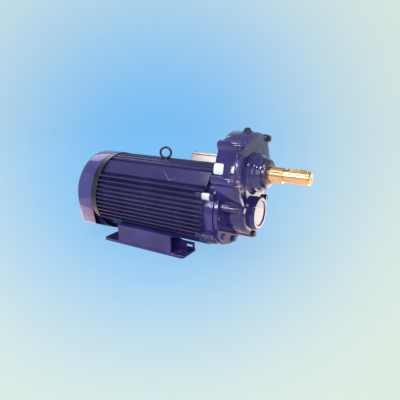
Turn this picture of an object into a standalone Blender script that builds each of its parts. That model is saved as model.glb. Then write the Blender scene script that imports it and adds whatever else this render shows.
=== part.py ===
"""Foot-mounted helical gearmotor: finned motor, single-stage gear unit and output shaft.

Lengths are metres, +Z is up and +X points out of the output shaft. The motor turns about one axis
and the output shaft about a second one straight above it. Pieces are drawn on their own axis, so
their x positions are counted from the middle of the feet.
"""

from math import acos, atan2, cos, pi, radians, sin, sqrt, tan

import bmesh
import bpy
from mathutils import Matrix, Vector
from mathutils.geometry import tessellate_polygon

# Clearances between pieces
SEAT_GAP = 0.0003
RUNNING_GAP = 0.0005
AIR_GAP = 0.0009
HOLE_CLEARANCE = 0.0004

# Gear pair, transverse values
GEAR_MODULE = 0.0025
PINION_TEETH = 18
GEAR_TEETH = 74
PRESSURE_ANGLE = radians(20)
HELIX_ANGLE = radians(12)
BACKLASH = 0.0007
GEAR_FACE_WIDTH = 0.030
PINION_FACE_WIDTH = 0.038
GEAR_RIM_THICKNESS = 0.011
GEAR_WEB_RECESS = 0.008
GEAR_HUB_RADIUS = 0.038
CENTRE_DISTANCE = GEAR_MODULE * (PINION_TEETH + GEAR_TEETH) / 2

# Heights of the two axes
AXIS_HEIGHT = 0.132
OUTPUT_HEIGHT = AXIS_HEIGHT + CENTRE_DISTANCE

# Motor frame
FRAME_REAR_X = -0.190
FRAME_LENGTH = 0.393
FRAME_BORE_RADIUS = 0.105
FRAME_WALL = 0.007
FIN_HEIGHT = 0.015
FIN_PITCH = 0.0133
FIN_ROOT_WIDTH = 0.005
FIN_TIP_WIDTH = 0.0028
SIDE_FINS = 11
SIDE_FIN_MIDDLE = 0.0055
TOP_FINS = 7
PANEL_DISTANCE = 0.1195
PANEL_HALF_WIDTH = 0.0226
PANEL_LIFT = 0.0177
FOOT_FLAT_DISTANCE = 0.116
FOOT_FLAT_HALF_WIDTH = 0.018

# Feet
FOOT_LENGTH = 0.298
FOOT_WIDTH = 0.254
PAD_WIDTH = 0.075
PAD_THICKNESS = 0.009
PAD_CORNER = 0.007
FOOT_HOLE_SPACING_X = 0.254
FOOT_HOLE_SPACING_Y = 0.216
FOOT_HOLE_RADIUS = 0.006
SIDE_PANEL_REAR_X = -0.092
SIDE_PANEL_FRONT_X = 0.106
SIDE_PANEL_DROP = 0.071
FOOT_WALL = 0.008
INNER_WALL_SHARE = 0.70
WINDOW_LENGTH = 0.024
WINDOW_POST = 0.0035
WINDOW_SHARE = 0.63

# End shields
SHIELD_SPIGOT = 0.007
REAR_SHIELD_THICKNESS = 0.010
REAR_SHIELD_GAP = 0.0185
DRIVE_SHIELD_DEPTH = 0.029
DRIVE_SHIELD_RADIUS = 0.108
SHIELD_WALL = 0.010
LUG_RADIUS = 0.011
LUG_DEPTH = 0.023
LUG_CIRCLE_RADIUS = 0.114
LUG_SETBACK = 0.006
SPOT_FACE_MARGIN = 0.001
SPOT_FACE_DEPTH = 0.0005
LUG_ANGLES = (radians(30), radians(150), radians(210), radians(330))

# Fan cowl and fan
COWL_RADIUS = 0.129
COWL_SHEET = 0.0025
COWL_FRONT_X = -0.195
COWL_REAR_X = -0.262
COWL_CORNER = 0.016
COWL_EAR_ANGLE = radians(38)
COWL_EAR_SPREAD = radians(28)
COWL_LUG_SPREAD = radians(10)
GRILLE_INNER_RADIUS = 0.030
GRILLE_RINGS = 3
GRILLE_SLOTS = 6
GRILLE_SLOT_WIDTH = 0.012
GRILLE_BAR_WIDTH = 0.012
FAN_TIP_GAP = 0.0165
FAN_BLADES = 8
FAN_BLADE_THICKNESS = 0.003
FAN_BLADE_LENGTH = 0.030
FAN_HUB_RADIUS = 0.026
FAN_DISC = 0.003
FAN_CLEARANCE = 0.006

# Stator and rotor
CORE_LENGTH = 0.200
STATOR_BORE_RADIUS = 0.068
WINDING_LENGTH = 0.044
WINDING_INNER_RADIUS = 0.073
WINDING_OUTER_RADIUS = 0.097
END_RING_LENGTH = 0.016
END_RING_INNER_RADIUS = 0.046

# Bearings: bore radius, outer radius and width
REAR_BEARING = (0.020, 0.040, 0.018)
DRIVE_BEARING = (0.020, 0.045, 0.023)
PINION_BEARING = (0.0125, 0.031, 0.017)
OUTPUT_REAR_BEARING = (0.020, 0.040, 0.018)
OUTPUT_FRONT_BEARING = (0.0225, 0.0425, 0.019)
RACE_THICKNESS = 0.0055
RACE_GROOVE = 0.0015

# Gear case and cover
CASE_DEPTH = 0.0637
CASE_WALL = 0.010
DRUM_RADIUS = 0.110
LOBE_RADIUS = 0.064
FLANGE_RADIUS = 0.103
FLANGE_THICKNESS = 0.0127
DRUM_SETBACK = 0.0037
CASE_EDGE_ROUND = 0.005
COVER_LUG_RADIUS = 0.012
COVER_LUG_CIRCLE = 0.118
COVER_LUG_ANGLES = (radians(45), radians(92.5), radians(139))
BOTTOM_LUG_DROP = 0.064
GASKET_THICKNESS = 0.001
COVER_THICKNESS = 0.0105
COVER_EDGE_ROUND = 0.003
HUB_LENGTH = 0.031
HUB_BASE_RADIUS = 0.054
HUB_NOSE_RADIUS = 0.044
SEAL_CAP_RADIUS = 0.040
SEAL_CAP_LENGTH = 0.0135
OIL_SEAL_RADIUS = 0.031
OIL_SEAL_WIDTH = 0.008
PINION_BOSS_RADIUS = 0.0465
PINION_BOSS_LENGTH = 0.013
PINION_CAP_THICKNESS = 0.007

# Shafts
FAN_SEAT_RADIUS = 0.016
ROTOR_SEAT_RADIUS = 0.026
PINION_SEAT_RADIUS = 0.014
GEAR_SEAT_RADIUS = 0.024
OUTPUT_COLLAR_RADIUS = 0.028
OUTPUT_SHOULDER_RADIUS = 0.021
OUTPUT_SHOULDER_LENGTH = 0.038
OUTPUT_END_RADIUS = 0.0175
OUTPUT_END_LENGTH = 0.072
SHAFT_CHAMFER = 0.002
KEY_WIDTH = 0.010
KEY_HEIGHT = 0.008
KEY_DEPTH = 0.005
KEY_LENGTH = 0.056
KEY_END_MARGIN = 0.006

# Bolts, plugs and eyebolt
BOLT_RADIUS = 0.005
BOLT_HEAD_RADIUS = 0.0092
BOLT_HEAD_HEIGHT = 0.007
BOLT_GRIP = 0.018
FLANGE_BOLT_CIRCLE = 0.092
FLANGE_BOLT_ANGLES = (radians(180), radians(225), radians(270), radians(315), radians(360))
PLUG_RADIUS = 0.007
PLUG_HEAD_RADIUS = 0.010
PLUG_HEAD_HEIGHT = 0.008
PLUG_LENGTH = 0.010
PLUG_BOSS_RADIUS = 0.014
PLUG_BOSS_HEIGHT = 0.003
DRAIN_DROP = 0.020
EYE_X = 0.008
EYE_RING_RADIUS = 0.01525
EYE_WIRE_RADIUS = 0.00425
EYE_SHANK_RADIUS = 0.004
EYE_COLLAR_RADIUS = 0.010
EYE_COLLAR_HEIGHT = 0.003
EYE_BOSS_RADIUS = 0.012
EYE_BOSS_TOP = 0.123

# Terminal box
TERMINAL_X = 0.141
TERMINAL_TILT = radians(-30)
TERMINAL_LENGTH = 0.110
TERMINAL_WIDTH = 0.100
TERMINAL_WALL = 0.004
TERMINAL_PAD_TOP = 0.1165
TERMINAL_BOX_HEIGHT = 0.020
TERMINAL_LID_HEIGHT = 0.008
TERMINAL_CORNER = 0.008
GLAND_RADIUS = 0.009
GLAND_BORE_RADIUS = 0.005
GLAND_NUT_LENGTH = 0.012
GLAND_THREAD_RADIUS = 0.0065

# Roundness
LARGE_SIDES = 40
MEDIUM_SIDES = 28
BEARING_SIDES = 20
SMALL_SIDES = 8

# Places worked out from the sizes above
FRAME_FRONT_X = FRAME_REAR_X + FRAME_LENGTH
FRAME_ROOT_RADIUS = FRAME_BORE_RADIUS + FRAME_WALL
FRAME_TIP_RADIUS = FRAME_ROOT_RADIUS + FIN_HEIGHT
SPIGOT_RADIUS = FRAME_BORE_RADIUS - SEAT_GAP
SIDE_PANEL_TOP = AXIS_HEIGHT - SIDE_PANEL_DROP
REAR_SHIELD_RADIUS = COWL_RADIUS - COWL_SHEET - REAR_SHIELD_GAP
FAN_RADIUS = COWL_RADIUS - COWL_SHEET - FAN_TIP_GAP
SHIELD_REAR_X = FRAME_FRONT_X + SEAT_GAP
SHIELD_FRONT_X = SHIELD_REAR_X + DRIVE_SHIELD_DEPTH
LUG_FRONT_X = SHIELD_FRONT_X - LUG_SETBACK
CASE_REAR_X = SHIELD_FRONT_X + SEAT_GAP
DRUM_REAR_X = CASE_REAR_X + DRUM_SETBACK
CASE_FRONT_X = CASE_REAR_X + CASE_DEPTH
CAVITY_REAR_X = DRUM_REAR_X + CASE_WALL
COVER_REAR_X = CASE_FRONT_X + GASKET_THICKNESS + 2 * SEAT_GAP
COVER_FRONT_X = COVER_REAR_X + COVER_THICKNESS
HUB_FRONT_X = COVER_FRONT_X + HUB_LENGTH
SEAL_CAP_FRONT_X = HUB_FRONT_X + SEAT_GAP + SEAL_CAP_LENGTH
PINION_BOSS_FRONT_X = COVER_FRONT_X + PINION_BOSS_LENGTH
OUTPUT_REAR_BEARING_X = DRUM_REAR_X + CASE_WALL / 2
OUTPUT_FRONT_BEARING_X = COVER_FRONT_X - 0.004
PINION_BEARING_X = COVER_FRONT_X - 0.007
GEAR_X = CAVITY_REAR_X + 0.016
GEAR_MIDDLE_X = GEAR_X + GEAR_FACE_WIDTH / 2
PINION_X = GEAR_MIDDLE_X - PINION_FACE_WIDTH / 2
SHOULDER_END_X = SEAL_CAP_FRONT_X + OUTPUT_SHOULDER_LENGTH
OUTPUT_TIP_X = SHOULDER_END_X + OUTPUT_END_LENGTH
MIDDLE_X = (COWL_REAR_X + OUTPUT_TIP_X) / 2


def remove_everything():
    """Empty the scene, so that each run starts from the same place."""
    for thing in list(bpy.data.objects):
        bpy.data.objects.remove(thing, do_unlink=True)


def make_material(name, color, roughness, metallic=0.0):
    """A plain finish with the colour, roughness and metallic value given."""
    material = bpy.data.materials.new(name)
    material.use_nodes = True
    shader = material.node_tree.nodes["Principled BSDF"]
    shader.inputs["Base Color"].default_value = (*color, 1.0)
    shader.inputs["Roughness"].default_value = roughness
    shader.inputs["Metallic"].default_value = metallic
    return material


def make_empty(name, location, parent=None):
    """An axis or an origin that pieces hang from."""
    empty = bpy.data.objects.new(name, None)
    empty.location = location
    empty.parent = parent
    bpy.context.collection.objects.link(empty)
    return empty


def arc(centre, radius, start, end, steps):
    """Points on a round stretch from one angle to the other, both ends included."""
    turn = (end - start) / steps
    points = []
    for step in range(steps + 1):
        angle = start + turn * step
        points.append((centre[0] + radius * cos(angle), centre[1] + radius * sin(angle)))
    return points


def circle(radius, sides, centre=(0.0, 0.0)):
    """A closed circle of points."""
    return arc(centre, radius, 0.0, 2 * pi * (1 - 1 / sides), sides - 1)


def rounded_rectangle(low, high, corner, steps=3):
    """A rectangle between two corners, with its own corners rounded."""
    points = []
    middles = (
        ((high[0] - corner, low[1] + corner), -pi / 2),
        ((high[0] - corner, high[1] - corner), 0.0),
        ((low[0] + corner, high[1] - corner), pi / 2),
        ((low[0] + corner, low[1] + corner), pi),
    )
    for middle, start in middles:
        points.extend(arc(middle, corner, start, start + pi / 2, steps))
    return points


def on_axis(axis, along, across):
    """A point of a flat outline, carried to its place along the X, Y or Z axis."""
    if axis == "X":
        return Vector((along, across[0], across[1]))
    if axis == "Y":
        return Vector((across[0], along, across[1]))
    return Vector((across[0], across[1], along))


def finish_mesh(name, shape):
    """Turn an edit mesh into an object's mesh, with its faces pointing out."""
    bmesh.ops.recalc_face_normals(shape, faces=shape.faces)
    mesh = bpy.data.meshes.new(name)
    shape.to_mesh(mesh)
    shape.free()
    return mesh


def add_strip(shape, first, second):
    """Join two closed loops of equal length with a strip of faces."""
    for index in range(len(first)):
        following = (index + 1) % len(first)
        shape.faces.new((first[index], first[following], second[following], second[index]))


def add_cap(shape, loops):
    """Close an outline, with the holes that the other loops leave in it."""
    if len(loops) == 1:
        shape.faces.new(loops[0])
        return
    flat = [vertex for loop in loops for vertex in loop]
    for triangle in tessellate_polygon([[vertex.co for vertex in loop] for loop in loops]):
        shape.faces.new([flat[index] for index in triangle])


def prism_mesh(name, outline, start, end, holes=(), axis="X"):
    """A flat outline with holes, carried straight along an axis."""
    return loft_mesh(name, [(start, outline), (end, outline)], holes, axis)


def loft_mesh(name, sections, holes=(), axis="X"):
    """Outlines with equal numbers of points, joined in order; holes run straight through."""
    shape = bmesh.new()
    rows = [
        [shape.verts.new(on_axis(axis, along, point)) for point in outline]
        for along, outline in sections
    ]
    for first, second in zip(rows, rows[1:]):
        add_strip(shape, first, second)
    first_holes = []
    last_holes = []
    for hole in holes:
        first_holes.append([shape.verts.new(on_axis(axis, sections[0][0], point)) for point in hole])
        last_holes.append([shape.verts.new(on_axis(axis, sections[-1][0], point)) for point in hole])
        add_strip(shape, first_holes[-1], last_holes[-1])
    add_cap(shape, [rows[0], *first_holes])
    add_cap(shape, [rows[-1], *last_holes])
    return finish_mesh(name, shape)


def turned_mesh(name, profile, sides, closed=False, axis="X"):
    """A profile of (along, radius) turned about an axis: a ring if closed, else with flat ends."""
    shape = bmesh.new()
    rows = [
        [shape.verts.new(on_axis(axis, along, point)) for point in circle(radius, sides)]
        for along, radius in profile
    ]
    for first, second in zip(rows, rows[1:]):
        add_strip(shape, first, second)
    if closed:
        add_strip(shape, rows[-1], rows[0])
    else:
        add_cap(shape, [rows[0]])
        add_cap(shape, [rows[-1]])
    return finish_mesh(name, shape)


def place(name, mesh, parent, material, location=(0.0, 0.0, 0.0), rotation=(0.0, 0.0, 0.0)):
    """Make a named piece from a mesh, smooth where it is round, and hang it from its axis."""
    mesh.name = name
    mesh.shade_smooth()
    mesh.set_sharp_from_angle(angle=radians(35))
    mesh.materials.clear()
    mesh.materials.append(material)
    piece = bpy.data.objects.new(name, mesh)
    piece.location = location
    piece.rotation_euler = rotation
    piece.parent = parent
    bpy.context.collection.objects.link(piece)
    return piece


def combine(mesh, tool, operation):
    """Join a second mesh to the first one, or cut it away, and keep the result closed."""
    body = bpy.data.objects.new("body", mesh)
    cutter = bpy.data.objects.new("tool", tool)
    for thing in (body, cutter):
        bpy.context.collection.objects.link(thing)
    modifier = body.modifiers.new("combine", "BOOLEAN")
    modifier.operation = operation
    modifier.object = cutter
    solid = None
    for solver in ("EXACT", "MANIFOLD"):
        if solid is None or not is_closed(solid):
            modifier.solver = solver
            graph = bpy.context.evaluated_depsgraph_get()
            solid = bpy.data.meshes.new_from_object(body.evaluated_get(graph))
    for thing in (body, cutter):
        bpy.data.objects.remove(thing, do_unlink=True)
    for old in (mesh, tool):
        bpy.data.meshes.remove(old)
    return solid


def is_closed(mesh):
    """Whether every edge of the mesh lies between exactly two faces."""
    shape = bmesh.new()
    shape.from_mesh(mesh)
    closed = all(len(edge.link_faces) == 2 for edge in shape.edges)
    shape.free()
    return closed


def join(mesh, tool):
    """The two meshes as one solid."""
    return combine(mesh, tool, "UNION")


def cut(mesh, tool):
    """The first mesh without the second one."""
    return combine(mesh, tool, "DIFFERENCE")


def polar(radius, angle):
    """A point across the axis, with its angle counted from +Y towards +Z."""
    return (radius * cos(angle), radius * sin(angle))


def circle_height(radius, offset):
    """How far a circle reaches at a sideways offset from its middle."""
    return sqrt(radius * radius - offset * offset)


def drilled(mesh, radius, start, end, centres, sides=SMALL_SIDES):
    """Holes along the axis at each centre."""
    for centre in centres:
        mesh = cut(mesh, prism_mesh("hole", circle(radius, sides, centre), start, end))
    return mesh


def fin_points(offset):
    """Root, tip, tip and root of one fin, as (distance out, offset across)."""
    points = []
    for side, radius, width in (
        (-1, FRAME_ROOT_RADIUS, FIN_ROOT_WIDTH),
        (-1, FRAME_TIP_RADIUS, FIN_TIP_WIDTH),
        (1, FRAME_TIP_RADIUS, FIN_TIP_WIDTH),
        (1, FRAME_ROOT_RADIUS, FIN_ROOT_WIDTH),
    ):
        across = offset + side * width / 2
        points.append((circle_height(radius, across), across))
    return points


def frame_half_outline():
    """The frame's outline on the +Y side, from the bottom up to the middle of the top."""
    points = []
    foot_low = (FOOT_FLAT_DISTANCE - FOOT_FLAT_HALF_WIDTH) * cos(pi / 4)
    foot_high = (FOOT_FLAT_DISTANCE + FOOT_FLAT_HALF_WIDTH) * cos(pi / 4)
    start = -acos(foot_low / FRAME_ROOT_RADIUS) if foot_low < FRAME_ROOT_RADIUS else 0.0
    bottom = arc((0.0, 0.0), FRAME_ROOT_RADIUS, -pi / 2, start, 4)
    points.extend(bottom[1:-1])
    points.append((foot_low, -foot_high))
    points.append((foot_high, -foot_low))
    for index in range(SIDE_FINS):
        offset = SIDE_FIN_MIDDLE + (index - (SIDE_FINS - 1) / 2) * FIN_PITCH
        points.extend(fin_points(offset))
    middle = PANEL_DISTANCE * cos(pi / 4)
    lean = PANEL_LIFT * cos(pi / 4)
    half = PANEL_HALF_WIDTH * cos(pi / 4)
    low = (middle - lean + half, middle + lean - half)
    high = (middle - lean - half, middle + lean + half)
    points.append((circle_height(FRAME_ROOT_RADIUS, low[1]), low[1]))
    points.append(low)
    points.append(high)
    points.append((high[0], circle_height(FRAME_ROOT_RADIUS, high[0])))
    for index in range(TOP_FINS // 2):
        offset = (TOP_FINS // 2 - index) * FIN_PITCH
        points.extend((across, out) for out, across in reversed(fin_points(offset)))
    return points


def frame_outline():
    """The whole outline of the frame, the same on both sides, with the middle fin on top."""
    right = frame_half_outline()
    left = [(-across, height) for across, height in reversed(right)]
    middle = [(across, out) for out, across in reversed(fin_points(0.0))]
    bottom = (0.0, -FRAME_ROOT_RADIUS)
    return [bottom, *right, *middle, *left]


def lug_centres():
    """Middles of the lugs that tie the drive end shield to the frame."""
    return [polar(LUG_CIRCLE_RADIUS, angle) for angle in LUG_ANGLES]


def lug_outline(angle, root):
    """A lug with a round end, whose root reaches into the wall behind it."""
    outer = arc((LUG_CIRCLE_RADIUS, 0.0), LUG_RADIUS, -pi / 2, pi / 2, 8)
    points = [(root, -LUG_RADIUS), *outer, (root, LUG_RADIUS)]
    return [turned_point(point, angle) for point in points]


def turned_point(point, angle):
    """A point turned about the axis."""
    return (
        point[0] * cos(angle) - point[1] * sin(angle),
        point[0] * sin(angle) + point[1] * cos(angle),
    )


def terminal_frame(mesh, location=(TERMINAL_X, 0.0, 0.0)):
    """Turn a mesh drawn upright about the motor axis to the terminal box's side."""
    mesh.transform(Matrix.Translation(location) @ Matrix.Rotation(TERMINAL_TILT, 4, "X"))
    return mesh


def terminal_rectangle(inset=0.0):
    """The terminal box's outline, seen along its own height."""
    half_length = TERMINAL_LENGTH / 2 - inset
    half_width = TERMINAL_WIDTH / 2 - inset
    corner = TERMINAL_CORNER - min(inset, TERMINAL_CORNER / 2)
    return rounded_rectangle((-half_length, -half_width), (half_length, half_width), corner)


def build_motor_frame(parent, paint):
    """Finned barrel, bored for the stator, with its pads for eyebolt, terminal box and shield."""
    bore = circle(FRAME_BORE_RADIUS, LARGE_SIDES)
    mesh = prism_mesh("frame", frame_outline(), FRAME_REAR_X, FRAME_FRONT_X, [bore])
    for clearing in terminal_clearings():
        mesh = cut(mesh, clearing)
    mesh = join(mesh, terminal_pad_mesh())
    root = FRAME_BORE_RADIUS + FRAME_WALL / 2
    around = circle(EYE_BOSS_RADIUS + 0.001, 16, (EYE_X, 0.0))
    mesh = cut(mesh, prism_mesh("clearing", around, EYE_BOSS_TOP - 0.001, FRAME_TIP_RADIUS + 0.001, axis="Z"))
    boss = circle(EYE_BOSS_RADIUS, 16, (EYE_X, 0.0))
    mesh = join(mesh, prism_mesh("boss", boss, root, EYE_BOSS_TOP, axis="Z"))
    for angle in LUG_ANGLES:
        lug = prism_mesh("lug", lug_outline(angle, root), FRAME_FRONT_X - LUG_DEPTH, FRAME_FRONT_X)
        mesh = join(mesh, lug)
    shank = BOLT_RADIUS + HOLE_CLEARANCE
    mesh = drilled(mesh, shank, FRAME_FRONT_X - BOLT_GRIP, FRAME_FRONT_X + 0.001, lug_centres())
    eye_hole = circle(EYE_SHANK_RADIUS + HOLE_CLEARANCE, SMALL_SIDES, (EYE_X, 0.0))
    mesh = cut(mesh, prism_mesh("hole", eye_hole, EYE_BOSS_TOP - 0.010, EYE_BOSS_TOP + 0.001, axis="Z"))
    return place("motor_frame", mesh, parent, paint)


def terminal_clearings():
    """Room cut into the ribs for the terminal box and for the gland beside it."""
    floor = TERMINAL_PAD_TOP - 0.002
    top = TERMINAL_PAD_TOP + 0.040
    box = prism_mesh("clearing", terminal_rectangle(-0.001), floor, top, axis="Z")
    half = TERMINAL_LENGTH / 2
    low = (-half - GLAND_NUT_LENGTH - 0.012, -GLAND_RADIUS - 0.005)
    high = (-half + 0.006, GLAND_RADIUS + 0.005)
    gland = prism_mesh("clearing", rounded_rectangle(low, high, 0.003, 2), floor, top, axis="Z")
    return [terminal_frame(box), terminal_frame(gland)]


def terminal_pad_mesh():
    """The pad under the terminal box, reaching down into the barrel's wall."""
    root = FRAME_BORE_RADIUS + FRAME_WALL / 2
    pad = prism_mesh("pad", terminal_rectangle(), root - 0.030, TERMINAL_PAD_TOP, axis="Z")
    core = circle(root, LARGE_SIDES)
    return cut(terminal_frame(pad), prism_mesh("core", core, FRAME_REAR_X, FRAME_FRONT_X))


def foot_section():
    """The foot's arch between pad and frame, for the +Y side; heights count from the floor."""
    seat = FOOT_FLAT_DISTANCE + SEAT_GAP
    high_y = (seat + FOOT_FLAT_HALF_WIDTH) * cos(pi / 4)
    low_y = (seat - FOOT_FLAT_HALF_WIDTH) * cos(pi / 4)
    high = (high_y, AXIS_HEIGHT - low_y)
    low = (low_y, AXIS_HEIGHT - high_y)
    outer = FOOT_WIDTH / 2 - 0.0015
    inner = inner_wall_y()
    root = PAD_THICKNESS / 2
    saddle = FOOT_WALL * sqrt(2)
    under_high = (high[0] + saddle / 2, SIDE_PANEL_TOP - FOOT_WALL)
    under_low_z = low[1] - saddle + (inner + FOOT_WALL - low[0])
    under_low = (inner + FOOT_WALL, max(under_low_z, PAD_THICKNESS))
    return [
        (outer, root),
        (outer, SIDE_PANEL_TOP),
        high,
        low,
        (inner, inner_wall_top()),
        (inner, root),
        (inner + FOOT_WALL, root),
        under_low,
        (under_low[0] + SIDE_PANEL_TOP - FOOT_WALL - 0.004 - under_low[1], SIDE_PANEL_TOP - FOOT_WALL - 0.004),
        (outer - FOOT_WALL, under_high[1]),
        (outer - FOOT_WALL, root),
    ]


def inner_wall_y():
    """Where the foot's inner wall starts."""
    return FOOT_WIDTH / 2 - PAD_WIDTH + 0.006


def inner_wall_top():
    """Top of the inner wall, which takes a share of the room between pad and barrel."""
    barrel = sqrt(max(FRAME_ROOT_RADIUS**2 - inner_wall_y() ** 2, 0.0))
    return PAD_THICKNESS + INNER_WALL_SHARE * (AXIS_HEIGHT - barrel - PAD_THICKNESS)


def build_foot(name, side, parent, paint):
    """One foot: pad with two holes, an arch up to the frame, and an inner wall with a window."""
    outer = FOOT_WIDTH / 2
    low = (-FOOT_LENGTH / 2, outer - PAD_WIDTH)
    high = (FOOT_LENGTH / 2, outer)
    holes = []
    for end in (-1, 1):
        centre = (end * FOOT_HOLE_SPACING_X / 2, FOOT_HOLE_SPACING_Y / 2)
        holes.append(circle(FOOT_HOLE_RADIUS, 16, centre))
    pad_outline = rounded_rectangle(low, high, PAD_CORNER)
    mesh = prism_mesh("pad", pad_outline, 0.0, PAD_THICKNESS, holes, axis="Z")
    mesh = join(mesh, prism_mesh("arch", foot_section(), SIDE_PANEL_REAR_X, SIDE_PANEL_FRONT_X))
    mesh = join(mesh, inner_wall_mesh())
    if side < 0:
        mesh.transform(Matrix.Scale(-1, 4, (0.0, 1.0, 0.0)))
        mesh.flip_normals()
    return place(name, mesh, parent, paint)


def inner_wall_mesh():
    """The low wall under the frame, with a window at its front end and a sloping rear end."""
    front = FOOT_LENGTH / 2 - 0.001
    root = PAD_THICKNESS / 2
    top = inner_wall_top()
    outline = [
        (-FOOT_LENGTH / 2 + 0.020, root),
        (front, root),
        (front, top),
        (SIDE_PANEL_REAR_X - 0.014, top),
        (-FOOT_LENGTH / 2 + 0.020, PAD_THICKNESS + 0.002),
    ]
    window_end = front - WINDOW_POST
    window_low = (window_end - WINDOW_LENGTH, PAD_THICKNESS + 0.0005)
    window_high = (window_end, PAD_THICKNESS + WINDOW_SHARE * (top - PAD_THICKNESS))
    window = rounded_rectangle(window_low, window_high, 0.003, 2)
    start = inner_wall_y() + 0.0002
    return prism_mesh("wall", outline, start, start + FOOT_WALL - 0.0004, [window], axis="Y")


def build_rear_shield(parent, paint):
    """Rear end shield: bearing pocket, spigot in the frame and four lugs that carry the cowl."""
    bore, outer, width = REAR_BEARING
    front = FRAME_REAR_X - SEAT_GAP
    rear = front - REAR_SHIELD_THICKNESS
    pocket = outer + SEAT_GAP
    pocket_rear = rear + 0.004
    profile = [
        (rear, bore + 0.003),
        (rear, REAR_SHIELD_RADIUS),
        (front, REAR_SHIELD_RADIUS),
        (front, SPIGOT_RADIUS),
        (front + SHIELD_SPIGOT, SPIGOT_RADIUS),
        (front + SHIELD_SPIGOT, SPIGOT_RADIUS - 0.008),
        (rear + 0.006, SPIGOT_RADIUS - 0.014),
        (rear + 0.006, pocket + 0.012),
        (pocket_rear + width, pocket + 0.008),
        (pocket_rear + width, pocket),
        (pocket_rear, pocket),
        (pocket_rear, bore + 0.003),
    ]
    mesh = turned_mesh("shield", profile, LARGE_SIDES, closed=True)
    half_width = COWL_LUG_SPREAD / 2
    for index in range(4):
        angle = pi / 4 + index * pi / 2
        nearest = min(cowl_reach(angle + side * half_width, COWL_RADIUS - COWL_SHEET) for side in (-1, 1))
        reach = nearest * cos(pi / LARGE_SIDES) - SEAT_GAP
        points = [(SPIGOT_RADIUS, -0.010), *arc((0, 0), reach, -half_width, half_width, 4), (SPIGOT_RADIUS, 0.010)]
        outline = [turned_point(point, angle) for point in points]
        mesh = join(mesh, prism_mesh("lug", outline, rear, front - 0.001))
    return place("rear_end_shield", mesh, parent, paint)


def build_drive_shield(parent, paint):
    """Drive end shield: carries the drive end bearing and the gear case's flange."""
    bore, outer, width = DRIVE_BEARING
    pocket = outer + SEAT_GAP
    inner_face = SHIELD_REAR_X - SHIELD_SPIGOT
    wall_rear = SHIELD_FRONT_X - SHIELD_WALL
    pocket_front = drive_bearing_x() + width
    profile = [
        (SHIELD_FRONT_X, bore + 0.004),
        (SHIELD_FRONT_X, DRIVE_SHIELD_RADIUS),
        (SHIELD_REAR_X, DRIVE_SHIELD_RADIUS),
        (SHIELD_REAR_X, SPIGOT_RADIUS),
        (inner_face, SPIGOT_RADIUS),
        (inner_face, SPIGOT_RADIUS - 0.008),
        (wall_rear, SPIGOT_RADIUS - 0.020),
        (wall_rear, pocket + 0.012),
        (drive_bearing_x() - 0.002, pocket + 0.010),
        (drive_bearing_x() - 0.002, pocket),
        (pocket_front, pocket),
        (pocket_front, bore + 0.004),
    ]
    mesh = turned_mesh("shield", profile, LARGE_SIDES, closed=True)
    for angle in LUG_ANGLES:
        outline = lug_outline(angle, DRIVE_SHIELD_RADIUS - FRAME_WALL)
        mesh = join(mesh, prism_mesh("lug", outline, SHIELD_REAR_X, LUG_FRONT_X))
    spot = BOLT_HEAD_RADIUS + SPOT_FACE_MARGIN
    seat = LUG_FRONT_X - SPOT_FACE_DEPTH
    mesh = drilled(mesh, spot, seat, SHIELD_FRONT_X + 0.001, lug_centres(), 20)
    shank = BOLT_RADIUS + HOLE_CLEARANCE
    mesh = drilled(mesh, shank, SHIELD_REAR_X - 0.001, seat + 0.001, lug_centres())
    mesh = drilled(mesh, shank, SHIELD_FRONT_X - 0.009, SHIELD_FRONT_X + 0.001, flange_bolt_centres())
    return place("drive_end_shield", mesh, parent, paint)


def drive_bearing_x():
    """Rear face of the drive end bearing."""
    return SHIELD_FRONT_X - 0.005 - DRIVE_BEARING[2]


def flange_bolt_centres():
    """Middles of the bolts that hold the gear case to the drive end shield."""
    return [polar(FLANGE_BOLT_CIRCLE, angle) for angle in FLANGE_BOLT_ANGLES]


def cover_bolt_centres():
    """Middles of the cover bolts, about the motor axis: three a side round the drum, one below."""
    centres = []
    for angle in COVER_LUG_ANGLES:
        for side in (-1, 1):
            across = side * COVER_LUG_CIRCLE * sin(angle)
            centres.append((across, CENTRE_DISTANCE + COVER_LUG_CIRCLE * cos(angle)))
    centres.append((0.0, -BOTTOM_LUG_DROP))
    return centres


def two_circle_outline(drum, lobe, lugs=None):
    """Outline of the drum's circle joined to the lobe's circle, with round lugs where asked.

    Every point is the furthest that any of the circles reaches along a ray from a middle point.
    """
    circles = [((0.0, CENTRE_DISTANCE), drum), ((0.0, 0.0), lobe)]
    if lugs:
        circles += [(centre, lugs) for centre in cover_bolt_centres()]
    middle = Vector((0.0, CENTRE_DISTANCE * 0.45))
    points = []
    for angle in outline_angles(middle, lugs):
        ray = Vector((cos(angle), sin(angle)))
        reach = max(ray_reach(middle, ray, centre, radius) for centre, radius in circles)
        points.append(tuple(middle + ray * reach))
    return points


def ray_reach(start, ray, centre, radius):
    """Distance from the start to where the ray leaves a circle, or zero where it misses."""
    offset = Vector(centre) - start
    along = offset.dot(ray)
    gap = radius * radius - (offset.length_squared - along * along)
    return along + sqrt(gap) if gap > 0 and along + sqrt(max(gap, 0.0)) > 0 else 0.0


def outline_angles(middle, lugs):
    """Angles of the outline's points: an even turn, and closer points where there are lugs."""
    angles = {-pi + (step + 0.5) * 2 * pi / LARGE_SIDES for step in range(LARGE_SIDES)}
    for centre in cover_bolt_centres() if lugs else ():
        offset = Vector(centre) - middle
        heading = atan2(offset.y, offset.x)
        spread = COVER_LUG_RADIUS / offset.length
        angles = {angle for angle in angles if abs(wrapped(angle - heading)) > spread * 1.35}
        for part in (-1.1, -0.98, -0.8, -0.45, 0.0, 0.45, 0.8, 0.98, 1.1):
            angles.add(wrapped(heading + part * spread))
    return sorted(angles)


def wrapped(angle):
    """The same angle between minus and plus half a turn."""
    return (angle + pi) % (2 * pi) - pi


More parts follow.
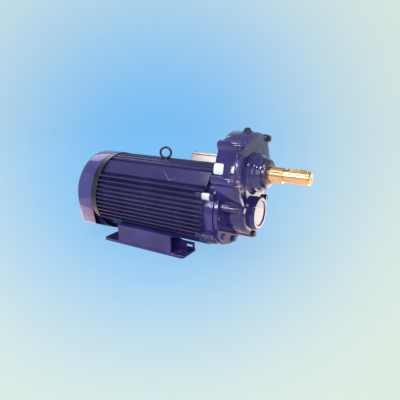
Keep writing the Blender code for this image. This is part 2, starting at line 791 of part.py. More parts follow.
def case_outline(inset=0.0):
    """Outer outline of the gear case and its cover."""
    return two_circle_outline(DRUM_RADIUS - inset, LOBE_RADIUS - inset, COVER_LUG_RADIUS - inset)


def cavity_outline(inset=0.0):
    """Inner outline of the gear case."""
    return two_circle_outline(DRUM_RADIUS - CASE_WALL - inset, LOBE_RADIUS - CASE_WALL - inset)


def build_gear_case(parent, paint):
    """Gear case: round flange on the motor, deep drum and lobe, bearing boss, bolt lugs, plug bosses."""
    sections = [
        (DRUM_REAR_X, case_outline(CASE_EDGE_ROUND)),
        (DRUM_REAR_X + CASE_EDGE_ROUND * 0.3, case_outline(CASE_EDGE_ROUND * 0.3)),
        (DRUM_REAR_X + CASE_EDGE_ROUND, case_outline()),
        (CASE_FRONT_X, case_outline()),
    ]
    mesh = loft_mesh("case", sections)
    flange = circle(FLANGE_RADIUS, LARGE_SIDES)
    mesh = join(mesh, prism_mesh("flange", flange, CASE_REAR_X, CASE_REAR_X + FLANGE_THICKNESS))
    plug_x = plug_station()
    boss_top = CENTRE_DISTANCE + DRUM_RADIUS + PLUG_BOSS_HEIGHT
    boss = circle(PLUG_BOSS_RADIUS, 20, (plug_x, 0.0))
    mesh = join(mesh, prism_mesh("boss", boss, boss_top - 0.010, boss_top, axis="Z"))
    drain_top = LOBE_RADIUS + PLUG_BOSS_HEIGHT
    drain_boss = circle(PLUG_BOSS_RADIUS, 20, (plug_x, -DRAIN_DROP))
    mesh = join(mesh, prism_mesh("boss", drain_boss, drain_top - 0.015, drain_top, axis="Y"))
    mesh = cut(mesh, prism_mesh("cavity", cavity_outline(), CAVITY_REAR_X, CASE_FRONT_X + 0.001))
    mesh = join(mesh, output_pocket_mesh())
    mesh = cut(mesh, prism_mesh("pocket", output_pocket_circle(), OUTPUT_REAR_BEARING_X, CASE_FRONT_X))
    seal = circle(OIL_SEAL_RADIUS + SEAT_GAP, MEDIUM_SIDES)
    mesh = cut(mesh, prism_mesh("seal", seal, CAVITY_REAR_X - CASE_WALL, CAVITY_REAR_X + 0.001))
    shaft = circle(DRIVE_BEARING[0] + 0.004, MEDIUM_SIDES)
    mesh = cut(mesh, prism_mesh("shaft", shaft, CASE_REAR_X - 0.001, CAVITY_REAR_X - CASE_WALL / 2))
    shank = BOLT_RADIUS + HOLE_CLEARANCE
    mesh = drilled(mesh, shank, CASE_FRONT_X - BOLT_GRIP, CASE_FRONT_X + 0.001, cover_bolt_centres())
    flange_front = CASE_REAR_X + FLANGE_THICKNESS
    mesh = drilled(mesh, shank, CASE_REAR_X - 0.001, flange_front + 0.001, flange_bolt_centres())
    plug = circle(PLUG_RADIUS + HOLE_CLEARANCE, SMALL_SIDES, (plug_x, 0.0))
    mesh = cut(mesh, prism_mesh("hole", plug, boss_top - CASE_WALL * 2, boss_top + 0.001, axis="Z"))
    drain = circle(PLUG_RADIUS + HOLE_CLEARANCE, SMALL_SIDES, (plug_x, -DRAIN_DROP))
    mesh = cut(mesh, prism_mesh("hole", drain, drain_top - CASE_WALL * 2, drain_top + 0.001, axis="Y"))
    return place("gear_case", mesh, parent, paint)


def plug_station():
    """Where the plugs stand along the case."""
    return CAVITY_REAR_X + (CASE_FRONT_X - CAVITY_REAR_X) * 0.7


def output_pocket_circle():
    """The rear output bearing's pocket, about the motor axis."""
    return circle(OUTPUT_REAR_BEARING[1] + SEAT_GAP, BEARING_SIDES, (0.0, CENTRE_DISTANCE))


def output_pocket_mesh():
    """The boss inside the case that holds the rear output bearing."""
    outline = circle(OUTPUT_REAR_BEARING[1] + 0.009, MEDIUM_SIDES, (0.0, CENTRE_DISTANCE))
    front = OUTPUT_REAR_BEARING_X + OUTPUT_REAR_BEARING[2] * 0.85
    return prism_mesh("pocket", outline, DRUM_REAR_X + CASE_WALL / 4, front)


def build_cover_gasket(parent, material):
    """Flat gasket between case and cover."""
    holes = [cavity_outline(-0.0005)]
    holes += [circle(BOLT_RADIUS + HOLE_CLEARANCE, SMALL_SIDES, centre) for centre in cover_bolt_centres()]
    start = CASE_FRONT_X + SEAT_GAP
    outline = case_outline(0.0005)
    mesh = prism_mesh("gasket", outline, start, start + GASKET_THICKNESS, holes)
    return place("cover_gasket", mesh, parent, material)


def build_gear_cover(parent, paint):
    """Front cover: rounded plate with the output hub and the pinion's bearing boss."""
    sections = [
        (COVER_REAR_X, case_outline()),
        (COVER_FRONT_X - COVER_EDGE_ROUND, case_outline()),
        (COVER_FRONT_X - COVER_EDGE_ROUND * 0.3, case_outline(COVER_EDGE_ROUND * 0.3)),
        (COVER_FRONT_X, case_outline(COVER_EDGE_ROUND)),
    ]
    mesh = loft_mesh("cover", sections)
    mesh = join(mesh, hub_mesh())
    mesh = join(mesh, pinion_boss_mesh())
    output = (0.0, CENTRE_DISTANCE)
    mesh = cut_pocket(mesh, OUTPUT_FRONT_BEARING, OUTPUT_FRONT_BEARING_X, output)
    seal = circle(OIL_SEAL_RADIUS + SEAT_GAP, MEDIUM_SIDES, output)
    mesh = cut(mesh, prism_mesh("seal", seal, OUTPUT_FRONT_BEARING_X, HUB_FRONT_X + 0.001))
    mesh = cut_pocket(mesh, PINION_BEARING, PINION_BEARING_X, (0.0, 0.0))
    shaft = circle(PINION_BEARING[0] + 0.005, MEDIUM_SIDES)
    mesh = cut(mesh, prism_mesh("shaft", shaft, PINION_BEARING_X, PINION_BOSS_FRONT_X + 0.001))
    shank = BOLT_RADIUS + HOLE_CLEARANCE
    mesh = drilled(mesh, shank, COVER_REAR_X - 0.001, COVER_FRONT_X + 0.001, cover_bolt_centres())
    return place("gear_cover", mesh, parent, paint)


def cut_pocket(mesh, bearing, start, centre):
    """Cut a bearing's pocket into the cover from its inner side."""
    outline = circle(bearing[1] + SEAT_GAP, BEARING_SIDES, centre)
    return cut(mesh, prism_mesh("pocket", outline, COVER_REAR_X - 0.001, start + bearing[2]))


def hub_mesh():
    """The stepped hub round the output shaft, drawn about the motor axis."""
    base = COVER_FRONT_X - COVER_THICKNESS / 2
    profile = [
        (base, HUB_BASE_RADIUS + 0.010),
        (COVER_FRONT_X + 0.001, HUB_BASE_RADIUS + 0.007),
        (COVER_FRONT_X + 0.005, HUB_BASE_RADIUS + 0.001),
        (COVER_FRONT_X + 0.011, HUB_BASE_RADIUS),
        (COVER_FRONT_X + 0.015, HUB_BASE_RADIUS - 0.002),
        (COVER_FRONT_X + 0.018, HUB_NOSE_RADIUS + 0.003),
        (COVER_FRONT_X + 0.021, HUB_NOSE_RADIUS + 0.001),
        (HUB_FRONT_X - 0.003, HUB_NOSE_RADIUS),
        (HUB_FRONT_X, HUB_NOSE_RADIUS - 0.002),
    ]
    mesh = turned_mesh("hub", profile, LARGE_SIDES)
    mesh.transform(Matrix.Translation((0.0, 0.0, CENTRE_DISTANCE)))
    return mesh


def pinion_boss_mesh():
    """The round boss on the motor axis that holds the pinion's outer bearing."""
    base = COVER_FRONT_X - COVER_THICKNESS / 2
    profile = [
        (base, PINION_BOSS_RADIUS),
        (PINION_BOSS_FRONT_X, PINION_BOSS_RADIUS),
    ]
    return turned_mesh("boss", profile, LARGE_SIDES)


def build_pinion_cap(parent, paint):
    """Bearing cap on the pinion's boss, with a dished face."""
    rear = PINION_BOSS_FRONT_X + SEAT_GAP
    front = rear + PINION_CAP_THICKNESS
    profile = [
        (rear, PINION_BOSS_RADIUS),
        (front - 0.002, PINION_BOSS_RADIUS),
        (front, PINION_BOSS_RADIUS - 0.002),
        (front, PINION_BOSS_RADIUS - 0.010),
        (front - 0.003, PINION_BOSS_RADIUS - 0.013),
    ]
    mesh = turned_mesh("cap", profile, LARGE_SIDES)
    return place("pinion_bearing_cap", mesh, parent, paint)


def build_seal_cap(parent, paint):
    """Ring in front of the output hub that keeps dirt off the oil seal."""
    rear = HUB_FRONT_X + SEAT_GAP
    front = rear + SEAL_CAP_LENGTH
    bore = OUTPUT_SHOULDER_RADIUS + 0.001
    profile = [
        (rear, bore),
        (rear, SEAL_CAP_RADIUS),
        (front - 0.004, SEAL_CAP_RADIUS),
        (front - 0.001, SEAL_CAP_RADIUS - 0.003),
        (front, SEAL_CAP_RADIUS - 0.006),
        (front, bore),
    ]
    mesh = turned_mesh("cap", profile, MEDIUM_SIDES, closed=True)
    return place("output_seal_cap", mesh, parent, paint)


def build_oil_seal(name, start, shaft_radius, parent, rubber):
    """Lip seal: outer ring in its seat, with a lip that runs just clear of the shaft."""
    end = start + OIL_SEAL_WIDTH
    lip = shaft_radius + RUNNING_GAP
    profile = [
        (start, lip),
        (start, OIL_SEAL_RADIUS),
        (end, OIL_SEAL_RADIUS),
        (end, OIL_SEAL_RADIUS - 0.002),
        (start + 0.002, OIL_SEAL_RADIUS - 0.003),
        (end - 0.001, lip + 0.001),
    ]
    mesh = turned_mesh("seal", profile, MEDIUM_SIDES, closed=True)
    return place(name, mesh, parent, rubber)


def build_bearing(name, bearing, start, fixed_parent, turning_parent, steel):
    """Outer and inner ring of one ball bearing, each with its race groove."""
    bore, outer, width = bearing
    middle = start + width / 2
    outer_profile = [
        (start, outer),
        (start + width, outer),
        (start + width, outer - RACE_THICKNESS),
        (middle, outer - RACE_THICKNESS + RACE_GROOVE),
        (start, outer - RACE_THICKNESS),
    ]
    seat = bore + SEAT_GAP
    inner_profile = [
        (start, seat),
        (start + width, seat),
        (start + width, bore + RACE_THICKNESS),
        (middle, bore + RACE_THICKNESS - RACE_GROOVE),
        (start, bore + RACE_THICKNESS),
    ]
    outer_mesh = turned_mesh("ring", outer_profile, BEARING_SIDES, closed=True)
    inner_mesh = turned_mesh("ring", inner_profile, BEARING_SIDES, closed=True)
    place(f"{name}_outer_ring", outer_mesh, fixed_parent, steel)
    place(f"{name}_inner_ring", inner_mesh, turning_parent, steel)


def cowl_ears():
    """Directions of the cowl's two lower corners."""
    return (-COWL_EAR_ANGLE, pi + COWL_EAR_ANGLE)


def cowl_reach(angle, radius):
    """How far the cowl reaches: a circle, with two flat tangents that meet at each lower corner."""
    for ear in cowl_ears():
        offset = abs(wrapped(angle - ear))
        if offset < COWL_EAR_SPREAD:
            return radius / cos(COWL_EAR_SPREAD - offset)
    return radius


def cowl_outline(radius):
    """The cowl's outline round a circle of the radius given."""
    angles = {2 * pi * step / LARGE_SIDES for step in range(LARGE_SIDES)}
    for ear in cowl_ears():
        angles = {angle for angle in angles if abs(wrapped(angle - ear)) > COWL_EAR_SPREAD * 1.1}
        for part in (-1.0, -0.5, -0.2, -0.07, 0.07, 0.2, 0.5, 1.0):
            angles.add((ear + part * COWL_EAR_SPREAD) % (2 * pi))
    return [polar(cowl_reach(angle, radius), angle) for angle in sorted(angles)]


def build_fan_cowl(parent, paint):
    """Cowl of pressed sheet over the fan, with rounded rear edge and slotted air grille."""
    shape = bmesh.new()
    middle = (COWL_REAR_X + COWL_CORNER, COWL_RADIUS - COWL_CORNER)
    outer = [*arc(middle, COWL_CORNER, pi, pi / 2, 4), (COWL_FRONT_X, COWL_RADIUS)]
    inner = arc(middle, COWL_CORNER - COWL_SHEET, pi / 2, pi, 3)
    profile = [*outer, (COWL_FRONT_X, COWL_RADIUS - COWL_SHEET), *inner]
    rows = [
        [shape.verts.new(on_axis("X", along, point)) for point in cowl_outline(radius)]
        for along, radius in profile
    ]
    for first, second in zip(rows, rows[1:]):
        add_strip(shape, first, second)
    outside = [rows[0]]
    inside = [rows[-1]]
    for outline in grille_slots():
        outside.append([shape.verts.new(on_axis("X", COWL_REAR_X, point)) for point in outline])
        inside.append([shape.verts.new(on_axis("X", COWL_REAR_X + COWL_SHEET, point)) for point in outline])
        add_strip(shape, outside[-1], inside[-1])
    add_cap(shape, outside)
    add_cap(shape, inside)
    return place("fan_cowl", finish_mesh("cowl", shape), parent, paint)


def grille_slots():
    """Outlines of the curved slots in the cowl's rear face."""
    slots = []
    for ring in range(GRILLE_RINGS):
        inner = GRILLE_INNER_RADIUS + ring * (GRILLE_SLOT_WIDTH + GRILLE_BAR_WIDTH)
        outer = inner + GRILLE_SLOT_WIDTH
        half_bar = GRILLE_BAR_WIDTH / 2
        for index in range(GRILLE_SLOTS):
            start = 2 * pi * index / GRILLE_SLOTS
            end = start + 2 * pi / GRILLE_SLOTS
            inside = half_bar / inner
            outside = half_bar / outer
            points = arc((0.0, 0.0), outer, start + outside, end - outside, 3)
            points += arc((0.0, 0.0), inner, end - inside, start + inside, 2)
            slots.append(points)
    return slots


def build_cooling_fan(parent, plastic):
    """Radial fan: hub, back disc and straight blades."""
    front = fan_disc_x()
    rear = front - FAN_BLADE_LENGTH
    bore = FAN_SEAT_RADIUS + SEAT_GAP
    profile = [
        (front, bore),
        (front, FAN_RADIUS),
        (front - FAN_DISC, FAN_RADIUS),
        (front - FAN_DISC * 2, FAN_HUB_RADIUS),
        (rear, FAN_HUB_RADIUS - 0.002),
        (rear, bore),
    ]
    mesh = turned_mesh("fan", profile, BEARING_SIDES, closed=True)
    for index in range(FAN_BLADES):
        angle = 2 * pi * (index + 0.5) / FAN_BLADES
        half = FAN_BLADE_THICKNESS / 2
        inner = FAN_HUB_RADIUS - 0.004
        outer = FAN_RADIUS - 0.001
        points = [(inner, -half), (outer, -half), (outer, half), (inner, half)]
        outline = [turned_point(point, angle) for point in points]
        mesh = join(mesh, prism_mesh("blade", outline, rear + 0.002, front - FAN_DISC / 2))
    return place("cooling_fan", mesh, parent, plastic)


def fan_disc_x():
    """Front face of the fan's disc, a running gap behind the rear end shield."""
    return FRAME_REAR_X - SEAT_GAP - REAR_SHIELD_THICKNESS - FAN_CLEARANCE


def build_stator(parent, iron, copper):
    """Stator core in the frame's bore, with a winding head at each end."""
    half = CORE_LENGTH / 2
    outline = circle(SPIGOT_RADIUS, LARGE_SIDES)
    bore = [circle(STATOR_BORE_RADIUS, LARGE_SIDES)]
    place("stator_core", prism_mesh("core", outline, -half, half, bore), parent, iron)
    for name, side in (("winding_head_rear", -1), ("winding_head_front", 1)):
        near = side * (half + SEAT_GAP)
        far = side * (half + WINDING_LENGTH)
        profile = [
            (near, WINDING_INNER_RADIUS),
            (near, WINDING_OUTER_RADIUS),
            (far - side * 0.010, WINDING_OUTER_RADIUS),
            (far, WINDING_OUTER_RADIUS - 0.007),
            (far, WINDING_INNER_RADIUS + 0.007),
            (far - side * 0.010, WINDING_INNER_RADIUS),
        ]
        place(name, turned_mesh("winding", profile, MEDIUM_SIDES, closed=True), parent, copper)


def build_rotor(parent, iron, aluminium):
    """Rotor core on the motor shaft, with a cast ring at each end."""
    half = CORE_LENGTH / 2
    outer = STATOR_BORE_RADIUS - AIR_GAP
    bore = [circle(ROTOR_SEAT_RADIUS + SEAT_GAP, MEDIUM_SIDES)]
    mesh = prism_mesh("core", circle(outer, LARGE_SIDES), -half, half, bore)
    place("rotor_core", mesh, parent, iron)
    for name, side in (("rotor_end_ring_rear", -1), ("rotor_end_ring_front", 1)):
        near = side * (half + SEAT_GAP)
        far = side * (half + END_RING_LENGTH)
        profile = [
            (near, END_RING_INNER_RADIUS),
            (near, outer - 0.001),
            (far, outer - 0.003),
            (far, END_RING_INNER_RADIUS + 0.002),
        ]
        place(name, turned_mesh("ring", profile, MEDIUM_SIDES, closed=True), parent, aluminium)


def build_motor_shaft(parent, steel):
    """Motor shaft with seats for fan, bearings, rotor and pinion."""
    rear_bearing = rear_bearing_x()
    drive_bearing = drive_bearing_x()
    rear = fan_disc_x() - FAN_BLADE_LENGTH - 0.002
    pinion_end = PINION_X + PINION_FACE_WIDTH
    tip = PINION_BEARING_X + PINION_BEARING[2]
    profile = [
        (rear, FAN_SEAT_RADIUS - SHAFT_CHAMFER),
        (rear + SHAFT_CHAMFER, FAN_SEAT_RADIUS),
        (rear_bearing - 0.002, FAN_SEAT_RADIUS),
        (rear_bearing - 0.002, REAR_BEARING[0]),
        (rear_bearing + REAR_BEARING[2], REAR_BEARING[0]),
        (rear_bearing + REAR_BEARING[2], ROTOR_SEAT_RADIUS - 0.002),
        (-CORE_LENGTH / 2 - 0.006, ROTOR_SEAT_RADIUS - 0.002),
        (-CORE_LENGTH / 2 - 0.006, ROTOR_SEAT_RADIUS),
        (CORE_LENGTH / 2 + 0.006, ROTOR_SEAT_RADIUS),
        (CORE_LENGTH / 2 + 0.006, ROTOR_SEAT_RADIUS - 0.002),
        (drive_bearing, ROTOR_SEAT_RADIUS - 0.002),
        (drive_bearing, DRIVE_BEARING[0]),
        (PINION_X - SEAT_GAP, DRIVE_BEARING[0]),
        (PINION_X - SEAT_GAP, PINION_SEAT_RADIUS),
        (pinion_end + 0.001, PINION_SEAT_RADIUS),
        (pinion_end + 0.001, PINION_BEARING[0]),
        (tip - 0.001, PINION_BEARING[0]),
        (tip, PINION_BEARING[0] - 0.001),
    ]
    place("motor_shaft", turned_mesh("shaft", profile, BEARING_SIDES), parent, steel)


def rear_bearing_x():
    """Rear face of the rear bearing."""
    return FRAME_REAR_X - SEAT_GAP - REAR_SHIELD_THICKNESS + 0.004 + SEAT_GAP


def involute(angle):
    """The involute function."""
    return tan(angle) - angle


def tooth_half_angle(radius, pitch_radius):
    """Half the angle that a tooth fills at a radius, with its share of the backlash taken off."""
    base = pitch_radius * cos(PRESSURE_ANGLE)
    pressure = acos(min(1.0, base / radius))
    thickness = pi * GEAR_MODULE / 2 - BACKLASH / 2
    return thickness / (2 * pitch_radius) + involute(PRESSURE_ANGLE) - involute(pressure)


def tooth_radii(teeth):
    """Radii of the points down a tooth's flank, from its root to its tip."""
    pitch = GEAR_MODULE * teeth / 2
    root = pitch - 1.25 * GEAR_MODULE
    tip = pitch + GEAR_MODULE
    base = pitch * cos(PRESSURE_ANGLE)
    start = max(root, base)
    radii = [root, start] if base > root + GEAR_MODULE / 10 else [root]
    return [*radii, pitch, tip]


def gear_outline(teeth, first_tooth, twist):
    """A gear's outline: every tooth's two flanks, turned by the helix's twist."""
    pitch = GEAR_MODULE * teeth / 2
    radii = tooth_radii(teeth)
    points = []
    for index in range(teeth):
        middle = first_tooth + twist + 2 * pi * index / teeth
        flank = [(radius, tooth_half_angle(radius, pitch)) for radius in radii]
        points += [polar(radius, middle - half) for radius, half in flank]
        points += [polar(radius, middle + half) for radius, half in reversed(flank)]
    return points


def helical_gear_mesh(name, teeth, first_tooth, hand, start, width, layers, inner_profile):
    """A helical gear: the toothed outline turned layer by layer, and its turned inner side."""
    pitch = GEAR_MODULE * teeth / 2
    shape = bmesh.new()
    rows = []
    for layer in range(layers + 1):
        along = start + width * layer / layers
        twist = hand * tan(HELIX_ANGLE) * (along - GEAR_MIDDLE_X) / pitch
        outline = gear_outline(teeth, first_tooth, twist)
        rows.append([shape.verts.new(on_axis("X", along, point)) for point in outline])
    for first, second in zip(rows, rows[1:]):
        add_strip(shape, first, second)
    inner = [
        [shape.verts.new(on_axis("X", along, point)) for point in circle(radius, BEARING_SIDES)]
        for along, radius in inner_profile
    ]
    for first, second in zip(inner, inner[1:]):
        add_strip(shape, first, second)
    add_cap(shape, [rows[0], inner[0]])
    add_cap(shape, [rows[-1], inner[-1]])
    return finish_mesh(name, shape)


def build_motor_pinion(parent, steel):
    """Helical pinion on the motor shaft, with one tooth pointing up at the gear."""
    bore = PINION_SEAT_RADIUS + SEAT_GAP
    inner = [(PINION_X, bore), (PINION_X + PINION_FACE_WIDTH, bore)]
    mesh = helical_gear_mesh(
        "pinion", PINION_TEETH, pi / 2, 1, PINION_X, PINION_FACE_WIDTH, 3, inner
    )
    return place("motor_pinion", mesh, parent, steel)


def build_output_gear(parent, steel):
    """Helical gear with a thin web between rim and hub; a gap between teeth points down."""
    front = GEAR_X + GEAR_FACE_WIDTH
    rim = GEAR_MODULE * GEAR_TEETH / 2 - GEAR_RIM_THICKNESS
    bore = GEAR_SEAT_RADIUS + SEAT_GAP
    inner = [
        (GEAR_X, rim),
        (GEAR_X + GEAR_WEB_RECESS, rim - 0.002),
        (GEAR_X + GEAR_WEB_RECESS, GEAR_HUB_RADIUS + 0.002),
        (GEAR_X, GEAR_HUB_RADIUS),
        (GEAR_X, bore),
        (front, bore),
        (front, GEAR_HUB_RADIUS),
        (front - GEAR_WEB_RECESS, GEAR_HUB_RADIUS + 0.002),
        (front - GEAR_WEB_RECESS, rim - 0.002),
        (front, rim),
    ]
    down = -pi / 2 + pi / GEAR_TEETH
    mesh = helical_gear_mesh(
        "gear", GEAR_TEETH, down, -1, GEAR_X, GEAR_FACE_WIDTH, 1, inner
    )
    return place("output_gear", mesh, parent, steel)


def build_output_shaft(parent, steel):
    """Output shaft: bearing seats, gear seat, collar, shoulder and keyed end."""
    rear = OUTPUT_REAR_BEARING_X + SEAT_GAP
    rear_end = OUTPUT_REAR_BEARING_X + OUTPUT_REAR_BEARING[2] + SEAT_GAP
    gear_end = GEAR_X + GEAR_FACE_WIDTH + SEAT_GAP
    seal_end = HUB_FRONT_X
    profile = [
        (rear, OUTPUT_REAR_BEARING[0]),
        (rear_end, OUTPUT_REAR_BEARING[0]),
        (rear_end, GEAR_SEAT_RADIUS),
        (gear_end, GEAR_SEAT_RADIUS),
        (gear_end, OUTPUT_COLLAR_RADIUS),
        (OUTPUT_FRONT_BEARING_X - SEAT_GAP, OUTPUT_COLLAR_RADIUS),
        (OUTPUT_FRONT_BEARING_X - SEAT_GAP, OUTPUT_FRONT_BEARING[0]),
        (seal_end, OUTPUT_FRONT_BEARING[0]),
        (seal_end, OUTPUT_SHOULDER_RADIUS),
        (SHOULDER_END_X - 0.001, OUTPUT_SHOULDER_RADIUS),
        (SHOULDER_END_X, OUTPUT_SHOULDER_RADIUS - 0.001),
        (SHOULDER_END_X, OUTPUT_END_RADIUS),
        (OUTPUT_TIP_X - SHAFT_CHAMFER, OUTPUT_END_RADIUS),
        (OUTPUT_TIP_X, OUTPUT_END_RADIUS - SHAFT_CHAMFER),
    ]
    mesh = turned_mesh("shaft", profile, MEDIUM_SIDES)
    slot = key_outline(SEAT_GAP)
    bottom = OUTPUT_END_RADIUS - KEY_DEPTH
    mesh = cut(mesh, prism_mesh("slot", slot, bottom - SEAT_GAP, OUTPUT_END_RADIUS + 0.002, axis="Z"))
    place("output_shaft", mesh, parent, steel)
    key = prism_mesh("key", key_outline(0.0), bottom, bottom + KEY_HEIGHT, axis="Z")
    place("output_key", key, parent, steel)


def key_outline(margin):
    """The key's outline seen from above, with two round ends."""
    end = OUTPUT_TIP_X - KEY_END_MARGIN - KEY_WIDTH / 2
    start = end - KEY_LENGTH + KEY_WIDTH
    radius = KEY_WIDTH / 2 + margin
    return arc((end, 0.0), radius, -pi / 2, pi / 2, 6) + arc((start, 0.0), radius, pi / 2, 3 * pi / 2, 6)


def bolt_mesh(head_radius, head_height, shank_radius, shank_length):
    """Hexagon head from zero forward along +X, and a plain shank behind it."""
    shape = bmesh.new()
    hexagon = circle(head_radius, 6)
    crown = circle(head_radius * 0.9, 6)
    shank = circle(shank_radius, SMALL_SIDES)
    stations = ((head_height, crown), (head_height * 0.85, hexagon), (0.0, hexagon))
    head = [[shape.verts.new(on_axis("X", x, point)) for point in outline] for x, outline in stations]
    add_strip(shape, head[0], head[1])
    add_strip(shape, head[1], head[2])
    neck = [shape.verts.new(on_axis("X", 0.0, point)) for point in shank]
    tip = [shape.verts.new(on_axis("X", -shank_length, point)) for point in shank]
    add_strip(shape, neck, tip)
    add_cap(shape, [head[0]])
    add_cap(shape, [head[2], neck])
    add_cap(shape, [tip])
    return finish_mesh("bolt", shape)


def build_bolts(parent, steel):
    """Bolts of the cover, of the flange and of the drive end shield."""
    cover_length = COVER_THICKNESS + GASKET_THICKNESS + 2 * SEAT_GAP + BOLT_GRIP - 0.002
    flange_length = FLANGE_THICKNESS + 0.007
    shield_x = LUG_FRONT_X - SPOT_FACE_DEPTH + SEAT_GAP
    shield_length = shield_x - FRAME_FRONT_X + BOLT_GRIP - 0.002
    groups = (
        ("cover_bolt", cover_bolt_centres(), COVER_FRONT_X + SEAT_GAP, cover_length),
        ("flange_bolt", flange_bolt_centres(), CASE_REAR_X + FLANGE_THICKNESS + SEAT_GAP, flange_length),
        ("shield_bolt", lug_centres(), shield_x, shield_length),
    )
    for name, centres, seat, length in groups:
        mesh = bolt_mesh(BOLT_HEAD_RADIUS, BOLT_HEAD_HEIGHT, BOLT_RADIUS, length)
        for number, centre in enumerate(centres, start=1):
            place(f"{name}_{number}", mesh, parent, steel, (seat, centre[0], centre[1]))


def build_plugs(parent, steel):
    """Breather plug on top of the case, and drain plug low on its far side."""
    plug_x = plug_station()
    top = CENTRE_DISTANCE + DRUM_RADIUS + PLUG_BOSS_HEIGHT + SEAT_GAP
    side = LOBE_RADIUS + PLUG_BOSS_HEIGHT + SEAT_GAP
    plug = (PLUG_HEAD_RADIUS, PLUG_HEAD_HEIGHT, PLUG_RADIUS, PLUG_LENGTH)
    place("breather_plug", bolt_mesh(*plug), parent, steel, (plug_x, 0.0, top), (0.0, -pi / 2, 0.0))
    place("drain_plug", bolt_mesh(*plug), parent, steel, (plug_x, side, -DRAIN_DROP), (0.0, 0.0, pi / 2))


def build_eyebolt(parent, steel):
    """Lifting eye on top of the frame, its ring in line with the motor."""
    ring_height = EYE_BOSS_TOP + SEAT_GAP + EYE_COLLAR_HEIGHT + EYE_RING_RADIUS + EYE_WIRE_RADIUS * 0.6
    shape = bmesh.new()
    sections = []
    for step in range(24):
        angle = 2 * pi * step / 24
        out = Vector((cos(angle), 0.0, sin(angle)))
        row = []
        for point in circle(EYE_WIRE_RADIUS, 10):
            row.append(shape.verts.new(out * (EYE_RING_RADIUS + point[0]) + Vector((0.0, point[1], 0.0))))
        sections.append(row)
    for first, second in zip(sections, sections[1:] + sections[:1]):
        add_strip(shape, first, second)
    mesh = finish_mesh("ring", shape)
    mesh.transform(Matrix.Translation((EYE_X, 0.0, ring_height)))
    base = EYE_BOSS_TOP + SEAT_GAP
    profile = [
        (base - 0.009, EYE_SHANK_RADIUS),
        (base, EYE_SHANK_RADIUS),
        (base, EYE_COLLAR_RADIUS),
        (base + EYE_COLLAR_HEIGHT, EYE_COLLAR_RADIUS),
        (base + EYE_COLLAR_HEIGHT + 0.003, EYE_WIRE_RADIUS * 1.2),
        (base + EYE_COLLAR_HEIGHT + 0.005, EYE_WIRE_RADIUS * 0.5),
    ]
    shank = turned_mesh("shank", profile, SMALL_SIDES, axis="Z")
    shank.transform(Matrix.Translation((EYE_X, 0.0, 0.0)))
    return place("eyebolt", join(mesh, shank), parent, steel)


def terminal_levels():
    """Heights of the terminal box's seat, its rim and the lid's seat, from the motor axis."""
    seat = TERMINAL_PAD_TOP + SEAT_GAP
    rim = seat + TERMINAL_BOX_HEIGHT
    return seat, rim, rim + GASKET_THICKNESS + 2 * SEAT_GAP


def build_terminal_box(parent, paint, rubber, plastic):
    """Open terminal box on the frame's pad, with gasket, lid, terminal block and gland."""
    seat, rim, lid_seat = terminal_levels()
    mesh = prism_mesh("box", terminal_rectangle(), seat, rim, axis="Z")
    hollow = terminal_rectangle(TERMINAL_WALL)
    mesh = cut(mesh, prism_mesh("hollow", hollow, seat + TERMINAL_WALL, rim + 0.001, axis="Z"))
    gland = gland_place()
    entry = circle(GLAND_THREAD_RADIUS + HOLE_CLEARANCE, SMALL_SIDES, gland)
    half = TERMINAL_LENGTH / 2
    mesh = cut(mesh, prism_mesh("entry", entry, -half - 0.001, -half + TERMINAL_WALL * 2))
    place("terminal_box", mesh, parent, paint, (TERMINAL_X, 0.0, 0.0), (TERMINAL_TILT, 0.0, 0.0))
    ring = prism_mesh("gasket", terminal_rectangle(0.0005), rim + SEAT_GAP, rim + SEAT_GAP + GASKET_THICKNESS,
                      [terminal_rectangle(TERMINAL_WALL)], axis="Z")
    place("terminal_gasket", ring, parent, rubber, (TERMINAL_X, 0.0, 0.0), (TERMINAL_TILT, 0.0, 0.0))
    sections = [
        (lid_seat, terminal_rectangle()),
        (lid_seat + TERMINAL_LID_HEIGHT - 0.003, terminal_rectangle()),
        (lid_seat + TERMINAL_LID_HEIGHT, terminal_rectangle(0.003)),
    ]
    lid = loft_mesh("lid", sections, axis="Z")
    place("terminal_box_lid", lid, parent, paint, (TERMINAL_X, 0.0, 0.0), (TERMINAL_TILT, 0.0, 0.0))
    block_outline = rounded_rectangle((-0.026, -0.014), (0.026, 0.014), 0.003, 2)
    base = seat + TERMINAL_WALL + SEAT_GAP
    block = prism_mesh("block", block_outline, base, base + 0.009, axis="Z")
    place("terminal_block", block, parent, plastic, (TERMINAL_X, 0.0, 0.0), (TERMINAL_TILT, 0.0, 0.0))
    build_cable_gland(parent, plastic, gland)


def gland_place():
    """Middle of the cable entry, across the terminal box's rear side."""
    seat, rim, _ = terminal_levels()
    return (0.0, (seat + rim) / 2)


def build_cable_gland(parent, plastic, gland):
    """Cable gland in the box's rear side: flange, hexagon nut and threaded neck."""
    face = -TERMINAL_LENGTH / 2 - SEAT_GAP
    profile = [
        (face + TERMINAL_WALL * 1.2, GLAND_BORE_RADIUS),
        (face + TERMINAL_WALL * 1.2, GLAND_THREAD_RADIUS),
        (face, GLAND_THREAD_RADIUS),
        (face, GLAND_RADIUS),
        (face - 0.003, GLAND_RADIUS),
        (face - 0.003, GLAND_THREAD_RADIUS + 0.0015),
        (face - GLAND_NUT_LENGTH, GLAND_THREAD_RADIUS + 0.0015),
        (face - GLAND_NUT_LENGTH - 0.002, GLAND_BORE_RADIUS + 0.001),
        (face - GLAND_NUT_LENGTH - 0.002, GLAND_BORE_RADIUS),
    ]
    mesh = turned_mesh("gland", profile, SMALL_SIDES, closed=True)
    mesh.transform(Matrix.Translation((0.0, gland[0], gland[1])))
    place("cable_gland", mesh, parent, plastic, (TERMINAL_X, 0.0, 0.0), (TERMINAL_TILT, 0.0, 0.0))


